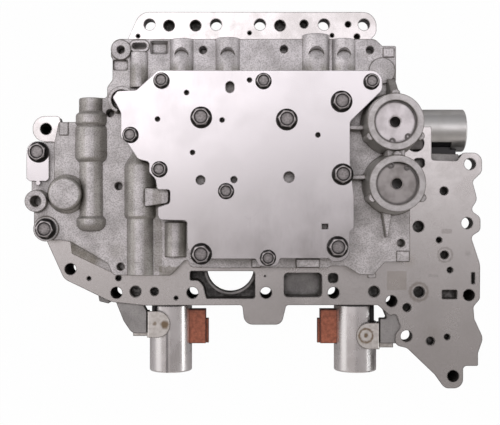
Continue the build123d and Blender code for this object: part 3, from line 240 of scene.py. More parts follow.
class Shader(Nodes):
    """The nodes of one finish. Its own sizes are in millimetres, and its clouds also have a detail."""

    ragged_cloud = (1.6, 3.0)
    cloud_middle = 0.5
    patch_edge = 0.35
    crevice_samples, edge_samples = 8, 6
    rim_turn = (0.99, 0.88)

    def __init__(self, name: str) -> None:
        """Starts a material that reads places from Object coordinates.

        Args:
            name: the material's name.
        """
        self.material = bpy.data.materials.new(name)
        self.material.use_nodes = True
        super().__init__(self.material.node_tree, "Object")
        self.surface = self.tree.nodes["Principled BSDF"]

    def cloud(self, size: float, detail: float = 2.0, stretch: Point = (1, 1, 1)) -> NodeSocket:
        """Noise over the piece.

        Args:
            size: the size of its blots in millimetres.
            detail: how many finer layers it has.
            stretch: how many times longer the blots are along X, Y and Z.

        Returns:
            A number that is mostly between 0.3 and 0.7.
        """
        mapping = self.node("ShaderNodeMapping")
        self.feed(mapping.inputs["Vector"], self.place)
        self.feed(mapping.inputs["Scale"], tuple(1 / (size * MM * times) for times in stretch))
        made = self.node("ShaderNodeTexNoise")
        self.feed(made.inputs["Vector"], mapping.outputs[0])
        self.feed(made.inputs["Scale"], 1.0)
        self.feed(made.inputs["Detail"], detail)
        return made.outputs[0]

    def crevice(self, reach: float) -> NodeSocket:
        """Finds corners and slots of the piece itself, where the finishes paint shade.

        Args:
            reach: how far from a wall the corner is felt, in millimetres.

        Returns:
            0 in the open and up to 1 in a deep corner.
        """
        made = self.node("ShaderNodeAmbientOcclusion", only_local=True, samples=self.crevice_samples)
        self.feed(made.inputs["Distance"], reach * MM)
        return self.calc("SUBTRACT", 1.0, made.outputs["AO"])

    def steepness(self) -> NodeSocket:
        """Tells level faces from upright ones.

        Returns:
            0 on a level face and 1 on an upright one.
        """
        normal = self.node("ShaderNodeNewGeometry").outputs["True Normal"]
        return self.calc("SUBTRACT", 1.0, self.calc("ABSOLUTE", self.parts(normal)[2]))

    def mark(self, mark: Mark) -> NodeSocket:
        """Finds where a mark lies.

        Args:
            mark: the mark.

        Returns:
            How much of the mark shows at each place.
        """
        across, along, _ = self.parts(self.place)
        uneven = self.calc("SUBTRACT", self.cloud(*self.ragged_cloud), self.cloud_middle)
        wobble = self.calc("MULTIPLY", uneven, mark.ragged * MM)
        away_x = self.calc("ABSOLUTE", self.calc("SUBTRACT", across, mark.centre[0] * MM))
        away_y = self.calc("ABSOLUTE", self.calc("SUBTRACT", along, mark.centre[1] * MM))
        first, second = (length * MM for length in mark.size)
        edge = second / 2
        if mark.shape is Shape.PATCH:
            sides = self.calc("SUBTRACT", away_x, first), self.calc("SUBTRACT", away_y, second)
            outside = self.calc("MAXIMUM", *sides)
            edge = self.patch_edge * MM
        elif mark.shape is Shape.BAND:
            outside = self.calc("SUBTRACT", away_y, first)
        else:
            squares = [self.calc("MULTIPLY", away, away) for away in (away_x, away_y)]
            distance = self.calc("SQRT", self.calc("ADD", *squares))
            outside = self.calc("SUBTRACT", distance, first)
            if mark.shape is Shape.RING:
                outside = self.calc("SUBTRACT", self.calc("ABSOLUTE", outside), edge)
        inside = self.ease(self.calc("ADD", outside, wobble), edge, -edge)
        return self.calc("MULTIPLY", inside, mark.strength)

    def soften(self, reach: float) -> NodeSocket:
        """Rounds the shading near the piece's edges.

        Args:
            reach: how far from an edge the shading turns, in millimetres.

        Returns:
            The turned normal.
        """
        made = self.node("ShaderNodeBevel", samples=self.edge_samples)
        self.feed(made.inputs["Radius"], reach * MM)
        return made.outputs[0]

    def rim(self, reach: float) -> NodeSocket:
        """Finds where the piece's edges run.

        Args:
            reach: how wide the line along an edge is, in millimetres.

        Returns:
            0 on an open face and up to 1 along an edge.
        """
        alike = self.node("ShaderNodeVectorMath", operation="DOT_PRODUCT")
        self.feed(alike.inputs[0], self.soften(reach))
        self.feed(alike.inputs[1], self.node("ShaderNodeNewGeometry").outputs["Normal"])
        return self.ease(alike.outputs["Value"], *self.rim_turn)

    def bump(self, height: Value, depth: float, edge: float) -> None:
        """Gives the surface its rounded edges and its fine relief.

        Args:
            height: the relief, from 0 to 1.
            depth: its depth in millimetres.
            edge: how far the shading of an edge is rounded, in millimetres. 0 is not at all.
        """
        made = self.node("ShaderNodeBump")
        if edge:
            self.feed(made.inputs["Normal"], self.soften(edge))
        self.feed(made.inputs["Height"], height)
        self.feed(made.inputs["Distance"], depth * MM)
        self.feed(self.surface.inputs["Normal"], made.outputs["Normal"])


@dataclass(frozen=True)
class Finish:
    """A finish of the valve body. The colours are as they would look on a flat card, apart from the painted light
    and shade that the finish adds by slope, corners, edges, tones and marks.

    The last values are the same for all: where blots, specks, gaps in the painted corner shade and that painted
    shade start and are full, the size in millimetres and finer layers of specks and gaps, and the spread of
    roughness.

    Args:
        name: the material's name.
        level: the colour of level faces, painted as lit from above.
        upright: the colour of upright faces, painted shade: a darker copy of the same surface.
        dirt_and_shade: the colour of dark blots and specks, and of the painted shade in corners.
        metallic: 1 for bare metal and 0 for plastic or rubber.
        roughness: how dull it is.
        corner_shade_reach: how far the painted shade spreads out of a corner, in millimetres. 0 is none.
        cloud_size: the size of the colour's blots in millimetres.
        cloud_share: how much the colour varies.
        cloud_detail: how many finer layers the blots have.
        speckle: how much the colour varies from speck to speck.
        grain_size: the size of the fine relief in millimetres.
        grain_depth: its depth in millimetres.
        grain_stretch: how many times longer the grain is along X, Y and Z.
        turn: how steep a face is where its colour leaves the level one and where it is the upright one.
        edge: how far the shading of an edge is rounded, in millimetres.
        rim: the colour of the painted shade along the edges, a dark line.
        rim_reach: how wide that line is, in millimetres.
        painted_highlight: the painted highlight colour, shown where the mesh's tone is 1.
        marks: stains and scuffs, and patches of painted shade and painted light.
    """

    name: str
    level: Colour
    upright: Colour
    dirt_and_shade: Colour
    metallic: float
    roughness: float
    corner_shade_reach: float = 0.0
    cloud_size: float = 9.0
    cloud_share: float = 0.12
    cloud_detail: float = 2.0
    speckle: float = 0.0
    grain_size: float = 0.6
    grain_depth: float = 0.02
    grain_stretch: Point = (1, 1, 1)
    turn: Pair = (0.1, 0.8)
    edge: float = 0.0
    rim: Colour | None = None
    rim_reach: float = 1.2
    painted_highlight: Colour | None = None
    marks: tuple[Mark, ...] = ()
    cloud_edge, speck_edge, gap_edge, corner_edge = (0.35, 0.68), (0.42, 0.66), (0.1, 0.6), (0.16, 0.75)
    specks, gaps = (0.7, 1.0), (2.2, 3.0)
    dull_spread = 0.08

    def material(self) -> Material:
        """Builds the finish as a material.

        Returns:
            The material.
        """
        made = Shader(self.name)
        # Painted light and shade: level faces take the lit level colour and steep faces the darker upright colour.
        colour = made.blend(made.ease(made.steepness(), *self.turn), self.level, self.upright)
        # Painted highlight: where the mesh's tone is high, the rings of a bolt's head are painted bright.
        if self.painted_highlight:
            tone = made.node("ShaderNodeAttribute", attribute_name=TONE)
            colour = made.blend(tone.outputs["Fac"], colour, self.painted_highlight)
        for mark in self.marks:
            colour = made.blend(made.mark(mark), colour, mark.colour)
        blots = made.ease(made.cloud(self.cloud_size, self.cloud_detail), *self.cloud_edge)
        shade = made.blend(made.calc("MULTIPLY", blots, self.cloud_share), colour, self.dirt_and_shade)
        if self.speckle:
            specks = made.ease(made.cloud(*self.specks), *self.speck_edge)
            shade = made.blend(made.calc("MULTIPLY", specks, self.speckle), shade, self.dirt_and_shade)
        # Painted shade: corners and slots of the piece darken towards the finish's dark colour, broken up by gaps.
        if self.corner_shade_reach:
            corner = made.ease(made.crevice(self.corner_shade_reach), *self.corner_edge)
            gaps = made.ease(made.cloud(*self.gaps), *self.gap_edge)
            shade = made.blend(made.calc("MULTIPLY", corner, gaps), shade, self.dirt_and_shade)
        # Painted shade: a dark line along every edge of the piece.
        if self.rim:
            shade = made.blend(made.rim(self.rim_reach), shade, self.rim)
        made.feed(made.surface.inputs["Base Color"], shade)
        made.feed(made.surface.inputs["Metallic"], self.metallic)
        grain = made.cloud(self.grain_size, stretch=self.grain_stretch)
        spread, least = self.dull_spread, self.roughness - self.dull_spread
        uneven = made.calc("MULTIPLY_ADD", made.calc("ADD", blots, grain), spread, least)
        made.feed(made.surface.inputs["Roughness"], uneven)
        made.bump(grain, self.grain_depth, self.edge)
        return made.material


# Brown: real weld stains on the straps, and painted shade on the upper casting.
BROWN_STAIN_AND_SHADE = (0.20, 0.13, 0.06)
# Olive painted shade for shadowed ledges, walls and flanks of the casting.
OLIVE_SHADE = (0.24, 0.225, 0.18)
DARK_SCUFF = (0.22, 0.21, 0.20)

CAST_ALUMINIUM = Finish(
    "cast_aluminium", (0.69, 0.68, 0.68), (0.47, 0.462, 0.435), (0.06, 0.054, 0.04), 0.75, 0.48,
    corner_shade_reach=3.0, cloud_size=12.0, cloud_share=0.28, cloud_detail=4.0, speckle=0.38,
    grain_size=0.45, grain_depth=0.11, turn=(0.0, 0.09), edge=0.5, rim=(0.10, 0.092, 0.075),
    marks=(
        # Painted light: a light band over the top row of bosses, so their flanks look as lit as the slab.
        Mark(Shape.BAND, (0.0, 113.0), (20.0, 6.0), (0.75, 0.74, 0.75), 0.85),
        # Painted shade: olive spots and patches on shadowed ledges, walls and the middle boss's right flank.
        *(
            Mark(Shape.SPOT, spot, (4.0, 6.0), OLIVE_SHADE, 0.8, 0.8)
            for spot in ((-114.0, -23.4), (-107.6, -27.0), (-101.4, -30.6))
        ),
        Mark(Shape.PATCH, (-49.0, -38.0), (9.0, 3.4), OLIVE_SHADE, 0.6, 3.0),
        Mark(Shape.SPOT, (-84.9, -25.0), (4.5, 8.0), OLIVE_SHADE, 0.35, 3.0),
        Mark(Shape.SPOT, (-130.0, -5.0), (4.0, 8.0), OLIVE_SHADE, 0.4, 3.0),
        Mark(Shape.SPOT, (-122.0, 24.0), (3.0, 6.0), OLIVE_SHADE, 0.4, 3.0),
        Mark(Shape.PATCH, (-58.4, -10.0), (2.6, 28.0), OLIVE_SHADE, 0.45, 3.0),
        # Painted shade: a brown spot in the shadowed channel by the cover's right corner.
        Mark(Shape.SPOT, (78.7, 77.6), (3.4, 2.0), BROWN_STAIN_AND_SHADE, 0.6),
    ),
)
# The lower casting: darker than the upper one, partly its stains and partly painted shade for its deep windows.
LOWER_CAST = Finish(
    "lower_cast_aluminium", (0.40, 0.395, 0.385), (0.22, 0.215, 0.20), (0.045, 0.046, 0.042), 0.75, 0.5,
    corner_shade_reach=7.0, cloud_size=11.0, cloud_share=0.25, cloud_detail=4.0, speckle=0.2,
    grain_size=0.5, grain_depth=0.05, turn=(0.0, 0.2), edge=0.5, rim=(0.06, 0.056, 0.048),
)
MACHINED_ALUMINIUM = Finish(
    "machined_aluminium", (0.60, 0.595, 0.59), (0.42, 0.41, 0.38), (0.13, 0.12, 0.10), 0.9, 0.34,
    corner_shade_reach=1.6, cloud_size=5.0, cloud_share=0.3, cloud_detail=3.0, speckle=0.15,
    grain_size=0.4, grain_depth=0.05, edge=0.4, rim=(0.14, 0.13, 0.115),
)
TURNED_ALUMINIUM = Finish(
    "turned_aluminium", (0.58, 0.58, 0.59), (0.50, 0.50, 0.49), (0.18, 0.17, 0.15), 0.95, 0.3,
    cloud_size=6.0, cloud_share=0.15, grain_size=0.3, grain_depth=0.01,
)
UPPER_CAP = Finish(
    "upper_cap_steel", (0.74, 0.72, 0.73), (0.34, 0.33, 0.32), (0.20, 0.19, 0.175), 1.0, 0.34,
    cloud_size=7.0, cloud_share=0.3, cloud_detail=3.0, grain_size=0.5, grain_depth=0.01,
    marks=(
        # Painted shadow: a dark ring where the rim shades the cap's edge, and painted shade round the centre hole.
        Mark(Shape.RING, (89.5, 55.5), (13.2, 2.2), (0.08, 0.075, 0.07), 0.95, 0.8),
        Mark(Shape.RING, (89.5, 55.5), (3.6, 0.8), (0.22, 0.21, 0.20), 0.7),
    ),
)
# Painted shade: the lower cap is a darker copy of the upper cap's steel.
SHADED_LOWER_CAP = Finish(
    "shaded_lower_cap_steel", (0.42, 0.405, 0.395), (0.30, 0.29, 0.28), (0.14, 0.13, 0.12), 1.0, 0.36,
    cloud_size=8.0, cloud_share=0.45, cloud_detail=3.0, grain_size=0.5, grain_depth=0.01,
    marks=(
        # Painted shadow: a dark ring where the rim shades the cap's edge, and painted shade round the centre hole.
        Mark(Shape.RING, (90.6, 17.5), (13.2, 2.4), (0.07, 0.065, 0.06), 0.95, 0.8),
        Mark(Shape.RING, (90.6, 17.5), (3.6, 0.8), (0.18, 0.17, 0.16), 0.7),
    ),
)
SNAP_STEEL = Finish(
    "snap_ring_steel", (0.17, 0.165, 0.16), (0.12, 0.115, 0.11), (0.06, 0.055, 0.05), 1.0, 0.36,
    cloud_size=3.0, cloud_share=0.3,
)
COVER_STEEL = Finish(
    "cover_steel", (0.84, 0.83, 0.84), (0.24, 0.23, 0.22), (0.34, 0.33, 0.32), 1.0, 0.20,
    cloud_size=26.0, cloud_share=0.10, grain_size=1.6, grain_depth=0.0006, grain_stretch=(1, 3, 1),
    edge=0.3, rim=(0.12, 0.115, 0.11), rim_reach=0.9,
)
PLATE_STEEL = Finish(
    "plate_steel", (0.84, 0.83, 0.82), (0.18, 0.17, 0.16), (0.36, 0.34, 0.315), 1.0, 0.23,
    cloud_size=13.0, cloud_share=0.3, cloud_detail=3.0, speckle=0.08, grain_size=1.2, grain_depth=0.001,
    edge=0.3, rim=(0.09, 0.086, 0.08), rim_reach=1.1,
    marks=(
        Mark(Shape.PATCH, (95.4, -44.6), (6.4, 6.2), (0.56, 0.52, 0.46), 0.5, 1.2),
        Mark(Shape.RING, (109.8, -51.8), (5.6, 1.8), (0.40, 0.36, 0.31), 0.6, 2.4),
        Mark(Shape.RING, (126.8, -27.8), (4.6, 1.2), (0.34, 0.32, 0.29), 0.45, 2.4),
        Mark(Shape.SPOT, (118.0, -78.0), (6.0, 9.0), (0.62, 0.60, 0.56), 0.3, 4.0),
        Mark(Shape.SPOT, (104.0, -32.0), (3.0, 6.0), (0.56, 0.52, 0.45), 0.35, 4.0),
        Mark(Shape.PATCH, (127.8, -12.4), (3.4, 1.6), (0.30, 0.28, 0.26), 0.35),
        Mark(Shape.PATCH, (119.0, -41.4), (3.2, 1.0), DARK_SCUFF, 0.18),
        Mark(Shape.SPOT, (141.6, -27.0), (1.6, 2.6), DARK_SCUFF, 0.2),
    ),
)
BOLT_STEEL = Finish(
    "bolt_steel", (0.020, 0.019, 0.018), (0.014, 0.013, 0.012), (0.020, 0.018, 0.016), 0.85, 0.36,
    corner_shade_reach=0.9, cloud_size=1.2, cloud_share=0.35, cloud_detail=3.0, grain_size=0.35, grain_depth=0.03,
    # Painted highlight: the bright colour of the rings on each bolt head.
    painted_highlight=(0.50, 0.48, 0.475),
)
SPRING_STEEL = Finish(
    "spring_steel", (0.40, 0.39, 0.37), (0.34, 0.33, 0.31), (0.12, 0.11, 0.10), 1.0, 0.3,
    cloud_size=3.0, cloud_share=0.1,
)
CAN_STEEL = Finish(
    "can_steel", (0.80, 0.79, 0.785), (0.74, 0.73, 0.71), (0.30, 0.29, 0.27), 1.0, 0.28,
    cloud_size=14.0, cloud_share=0.06, grain_size=0.5, grain_depth=0.0006, grain_stretch=(1, 10, 1),
    edge=0.4, rim=(0.10, 0.096, 0.09), rim_reach=0.9,
    # Painted shade: a thin dark line down the length of each front can.
    marks=tuple(
        Mark(Shape.PATCH, (x, -91.4), (0.8, 20.6), (0.20, 0.195, 0.20), 0.7, 0.1) for x in (-54.2, 78.0)
    ),
)
DULL_CAN = Finish(
    "dull_can", (0.68, 0.69, 0.67), (0.46, 0.465, 0.445), (0.30, 0.295, 0.27), 0.95, 0.38,
    cloud_size=10.0, cloud_share=0.2, grain_size=0.5, grain_depth=0.006, grain_stretch=(10, 1, 1),
    edge=0.5, rim=(0.10, 0.096, 0.09), rim_reach=1.0,
)
STRAP_STEEL = Finish(
    "strap_steel", (0.80, 0.785, 0.75), (0.26, 0.245, 0.22), (0.20, 0.17, 0.12), 0.95, 0.38,
    corner_shade_reach=1.5, cloud_size=3.0, cloud_share=0.3, edge=0.3, rim=(0.07, 0.062, 0.05),
    marks=(
        Mark(Shape.SPOT, (-55.6, -73.4), (2.6, 2.2), BROWN_STAIN_AND_SHADE, 0.9),
        Mark(Shape.SPOT, (-62.2, -72.8), (1.2, 1.6), BROWN_STAIN_AND_SHADE, 0.7),
        Mark(Shape.RING, (75.6, -80.6), (4.4, 1.3), BROWN_STAIN_AND_SHADE, 0.85),
        Mark(Shape.SPOT, (75.6, -80.6), (1.3, 1.0), BROWN_STAIN_AND_SHADE, 0.9),
    ),
)
# Painted shade: the side solenoid's strap, a dark copy of the strap steel for where it lies in shadow.
SHADED_STRAP = Finish(
    "shaded_strap", (0.16, 0.155, 0.15), (0.12, 0.115, 0.11), (0.07, 0.065, 0.055), 0.95, 0.4,
    cloud_size=4.0, cloud_share=0.3,
)
BROWN_PLASTIC = Finish(
    "brown_plastic", (0.45, 0.145, 0.078), (0.22, 0.062, 0.032), (0.11, 0.030, 0.016), 0.0, 0.42,
    corner_shade_reach=2.0, cloud_size=2.6, cloud_share=0.5, cloud_detail=3.0, speckle=0.2, grain_size=0.5,
    grain_depth=0.02, grain_stretch=(1, 6, 1), edge=0.4, rim=(0.06, 0.018, 0.011),
)
# Painted shade: black where only shadow shows, on the side solenoid's connector and on the coils inside their
# cans.
BLACK_SHADE = Finish(
    "black_plastic", (0.022, 0.022, 0.024), (0.018, 0.018, 0.020), (0.008, 0.008, 0.008), 0.0, 0.36,
    cloud_size=6.0, cloud_share=0.15, grain_size=0.4, grain_depth=0.01,
)
SEAL_RUBBER = Finish(
    "seal_rubber", (0.015, 0.015, 0.015), (0.013, 0.013, 0.013), (0.006, 0.006, 0.006), 0.0, 0.55,
    cloud_size=4.0, cloud_share=0.2,
)


class Workshop:
    """Makes, dresses and hands over pieces, and keeps one material for each finish.

    An edge between flat_turn and sharp_turn is part of a smooth curve. Rounding takes at most the room beside
    a rim over room_parts, and at most the edge's own length or least_share of the full width.
    """

    flat_turn, sharp_turn = math.radians(0.4), math.radians(32.0)
    rim_segments = 2
    room_parts = 2.2
    least_share = 0.3

    def __init__(self) -> None:
        """Starts with no material made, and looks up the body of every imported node."""
        self.made: dict[str, Material] = {}
        self.bodies: dict[str, str] = {}
        for body, nodes in frame["record"]["behaviour"]["bodies"].items():
            self.bodies.update(dict.fromkeys(nodes, body))

    def material(self, finish: Finish) -> Material:
        """Gives a finish's material, made once.

        Args:
            finish: the finish.

        Returns:
            Its material.
        """
        if finish.name not in self.made:
            self.made[finish.name] = finish.material()
        return self.made[finish.name]

    def paint(self, node: str, finish: Finish) -> None:
        """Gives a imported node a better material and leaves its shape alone.

        Args:
            node: the node's name.
            finish: its finish.
        """
        for slot in frame["nodes"][node].material_slots:
            slot.material = self.material(finish)
        log.info("%s: kept, %s", node, finish.name)

    def piece(self, name: str, mesh: Mesh) -> Object:
        """Puts a mesh in the scene.

        Args:
            name: the piece's name.
            mesh: its mesh, in place.

        Returns:
            The new object, which sits at the origin.
        """
        made = bpy.data.objects.new(name, mesh)
        bpy.context.scene.collection.objects.link(made)
        return made

    def settle(self, piece: Object) -> None:
        """Turns a piece's live modifiers into a plain mesh, and takes them off.

        Args:
            piece: the piece.
        """
        bpy.context.view_layer.update()
        evaluated = piece.evaluated_get(bpy.context.evaluated_depsgraph_get())
        mesh = bpy.data.meshes.new_from_object(evaluated)
        piece.modifiers.clear()
        piece.data = mesh

    def hand_over(self, piece: Object, node: str, slot: str) -> None:
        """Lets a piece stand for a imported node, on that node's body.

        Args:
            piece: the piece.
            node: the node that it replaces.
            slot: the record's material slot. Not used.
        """
        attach(piece, self.bodies[node])
        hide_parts(node)
        log.info("%s: %d faces on %s", piece.name, len(piece.data.polygons), self.bodies[node])

    def dressed(self, node: str, slot: str, finish: Finish, width: float = 0.0) -> Object:
        """Stands a copy with smooth curves, and rounded rims where they are asked for, in a node's place.

        Args:
            node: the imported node.
            slot: the record's material slot.
            finish: the finish.
            width: how far each rim is rounded, in millimetres. 0 is not at all.

        Returns:
            The new piece.
        """
        mesh = frame["nodes"][node].data.copy()
        mesh.materials.clear()
        mesh.materials.append(self.material(finish))
        piece = self.piece(f"{node}_finished", mesh)
        build = bmesh.new()
        build.from_mesh(mesh)
        bmesh.ops.remove_doubles(build, verts=build.verts, dist=WELD_DISTANCE)
        self.weigh_edges(build, width * MM)
        for face in build.faces:
            turns = (edge.calc_face_angle(0.0) for edge in face.edges)
            face.smooth = any(self.flat_turn < turn < self.sharp_turn for turn in turns)
        build.to_mesh(mesh)
        build.free()
        if width:
            bevel = piece.modifiers.new("rounded_edges", "BEVEL")
            bevel.width = width * MM
            bevel.segments = self.rim_segments
            bevel.limit_method = "WEIGHT"
            bevel.use_clamp_overlap = False
        normals = piece.modifiers.new("even_normals", "WEIGHTED_NORMAL")
        normals.keep_sharp = True
        self.settle(piece)
        self.hand_over(piece, node, slot)
        return piece

    def closed_rims(self, sharp: set[BMEdge]) -> set[BMEdge]:
        """Picks the sharp edges that run round in a loop and meet no other sharp edge.

        Args:
            sharp: all sharp edges of a mesh.

        Returns:
            Those whose whole loop is free of junctions.
        """
        rims: set[BMEdge] = set()
        left = set(sharp)
        while left:
            group, open_end = [left.pop()], False
            for link in group:
                for end in link.verts:
                    near = [other for other in end.link_edges if other in sharp]
                    open_end = open_end or len(near) != 2
                    fresh = [other for other in near if other in left]
                    left.difference_update(fresh)
                    group.extend(fresh)
            if not open_end:
                rims.update(group)
        return rims

    def weigh_edges(self, build: BMesh, width: float) -> None:
        """Sets how far each closed rim is rounded, less where room is short, and keeps the rest sharp.

        Args:
            build: the mesh.
            width: the full width of the rounding in metres. 0 rounds nothing.
        """
        layers, name = build.edges.layers.float, "bevel_weight_edge"
        weights = layers.get(name) or layers.new(name)
        joined = (edge for edge in build.edges if edge.is_manifold)
        sharp = {edge for edge in joined if edge.calc_face_angle(0.0) > self.sharp_turn}
        rims = self.closed_rims(sharp) if width else set()
        for edge in sharp - rims:
            edge.smooth = False
        for edge in rims:
            near = {other for end in edge.verts for other in end.link_edges} - sharp
            room = min((other.calc_length() for other in near), default=width)
            limit = min(room / self.room_parts, max(edge.calc_length(), width * self.least_share))
            edge[weights] = min(1.0, limit / width)


@dataclass
class Assembly:
    """A sub-assembly of the valve body.

    Args:
        shop: the workshop that makes its pieces.
    """

    shop: Workshop


@dataclass
class Castings(Assembly):
    """The two castings, with their cast skin and machined faces.

    Args:
        level_gap: how far a machined face may lie from the top, in millimetres.
        upright_limit: how level it is, as the upright part of its normal.
    """

    level_gap: float = 0.15
    upright_limit: float = 0.98

    def build(self) -> None:
        """Makes both castings, and gives the highest faces of the upper one a machined finish."""
        upper = self.shop.dressed("upper_body", "cast_aluminium", CAST_ALUMINIUM)
        upper.data.materials.append(self.shop.material(MACHINED_ALUMINIUM))
        top = max(corner[2] for corner in upper.bound_box)
        for face in upper.data.polygons:
            level = face.normal.z > self.upright_limit
            if level and abs(face.center.z - top) < self.level_gap * MM:
                face.material_index = 1
        self.shop.dressed("lower_body", "cast_aluminium", LOWER_CAST)


class Plates(Assembly):
    """The cover plate, the left bracket, the separator plate and the keeper plates."""

    def build(self) -> None:
        """Dresses each plate."""
        for node in ("cover_plate", "side_bracket"):
            self.shop.dressed(node, "cover_steel", COVER_STEEL)
        for node in ("separator_plate", "valve_keepers"):
            self.shop.dressed(node, "plate_steel", PLATE_STEEL)


@dataclass(frozen=True)
class BoltForm:
    """The sizes of one flanged hexagon bolt, in millimetres.

    Args:
        shank_r: the shank's radius.
        flange_r: the flange's radius.
        across: the hexagon's width across its flats.
        head: the head's height.
        length: the length under the head.
        flange_edge: the height of the flange's rim.
        flange_rise: the height where the flange meets the hexagon.
        flange_round: how far the rim is rounded below and above.
        flange_lip: how far in and up from the rim the flange's slope starts.
        chamfer_slope: how steeply the hexagon's corners are cut off.
        corner_round: how far down, in and up the cut's lower end is rounded.
        crown_share: the raised ring's radius, as a share of half the width across flats.
        dish_share: the radius of the dish inside it, as such a share.
        dish_depth: the depth of the dish.
        dish_round: how far its edges are rounded.
        floor_shares: the radii of two rings on its floor, as shares of its own.
        shank_chamfer: how far the tip is cut off.
        bump_depth: how uneven the dish's floor is.
        bump_pitch: how many of its bumps lie in a millimetre.
        sharp_angle: edges that turn by more degrees stay sharp.
        steps: how many faces go round the bolt.
        sides: how many sides the head has.
    """

    shank_r: float
    flange_r: float
    across: float
    head: float
    length: float
    flange_edge: float = 0.8
    flange_rise: float = 1.7
    flange_round: Pair = (0.15, 0.2)
    flange_lip: Pair = (0.7, 0.25)
    chamfer_slope: float = 0.5
    corner_round: Point = (0.1, 0.12, 0.05)
    crown_share: float = 0.95
    dish_share: float = 0.82
    dish_depth: float = 0.8
    dish_round: float = 0.3
    floor_shares: Pair = (0.7, 0.4)
    shank_chamfer: float = 0.6
    bump_depth: float = 0.12
    bump_pitch: float = 1.7
    sharp_angle: float = 28.0
    steps: int = 72
    sides: int = 6

    @property
    def floor(self) -> float:
        """The height of the dish's floor in millimetres."""
        return self.head - self.dish_depth

    def hexagon(self, turn: float) -> float:
        """The hexagon's radius in one direction.

        Args:
            turn: the direction in radians.

        Returns:
            The distance from the axis to the flat, in millimetres.
        """
        side = 2 * math.pi / self.sides
        return self.across / 2 / math.cos((turn % side) - side / 2)

    def rings(self, turn: float) -> list[tuple[float, float, PaintedHighlight]]:
        """The bolt's profile in one direction, from its tip to the middle of its head.

        Args:
            turn: the direction in radians.

        Returns:
            Radius and height of each point in millimetres, and how much painted highlight it takes.
        """
        flat = self.across / 2
        hexagon = self.hexagon(turn)
        crown = flat * self.crown_share
        shoulder = self.head - (hexagon - crown) * self.chamfer_slope
        dish = flat * self.dish_share
        outer, inner = self.floor_shares
        under, over = self.flange_round
        lip_in, lip_up = self.flange_lip
        down, inward, up = self.corner_round
        return [
            (self.shank_r - self.shank_chamfer, -self.length, PaintedHighlight.SHANK),
            (self.shank_r, self.shank_chamfer - self.length, PaintedHighlight.SHANK),
            (self.shank_r, 0.0, PaintedHighlight.SHANK),
            (self.flange_r - under, 0.0, PaintedHighlight.BLACK),
            (self.flange_r, under, PaintedHighlight.BLACK),
            (self.flange_r, self.flange_edge - under, PaintedHighlight.BLACK),
            (self.flange_r - over, self.flange_edge, PaintedHighlight.CORNER),
            (self.flange_r - lip_in, self.flange_edge + lip_up, PaintedHighlight.BLACK),
            (hexagon, self.flange_rise, PaintedHighlight.BLACK),
            (hexagon, shoulder - down, PaintedHighlight.BLACK),
            (hexagon - inward, shoulder + up, PaintedHighlight.SHOULDER),
            (crown, self.head, PaintedHighlight.CROWN),
            (dish + self.dish_round, self.head, PaintedHighlight.CROWN_INSIDE),
            (dish, self.head - self.dish_round, PaintedHighlight.BLACK),
            (dish - self.dish_round, self.floor, PaintedHighlight.CORNER),
            (dish * outer, self.floor, PaintedHighlight.DISH_OUTER),
            (dish * inner, self.floor, PaintedHighlight.DISH_INNER),
        ]

    def mesh(self, name: str) -> Mesh:
        """Builds the bolt with its seat at the origin and its head up.

        Args:
            name: the mesh's name.

        Returns:
            The mesh, in metres.
        """
        build = bmesh.new()
        tone = build.verts.layers.float.new(TONE)
        columns = []
        for step in range(self.steps):
            turn = 2 * math.pi * step / self.steps
            column = []
            for radius, height, painted_highlight in self.rings(turn):
                spot = Vector((radius * math.cos(turn), radius * math.sin(turn), height))
                if height == self.floor:
                    spot.z += self.bump_depth * noise.noise(spot * self.bump_pitch)
                column.append(build.verts.new(spot * MM))
                # How much painted highlight this ring of the head takes.
                column[-1][tone] = painted_highlight
            columns.append(column)
        tip = build.verts.new((0, 0, -self.length * MM))
        middle = build.verts.new((0, 0, self.floor * MM))
        middle[tone] = PaintedHighlight.DISH_MIDDLE
        for first, second in zip(columns, columns[1:] + columns[:1]):
            for low in range(len(first) - 1):
                build.faces.new((first[low], second[low], second[low + 1], first[low + 1]))
            build.faces.new((tip, second[0], first[0]))
            build.faces.new((first[-1], second[-1], middle))
        for face in build.faces:
            face.smooth = True
        mesh = bpy.data.meshes.new(name)
        build.to_mesh(mesh)
        build.free()
        mesh.set_sharp_from_angle(angle=math.radians(self.sharp_angle))
        return mesh


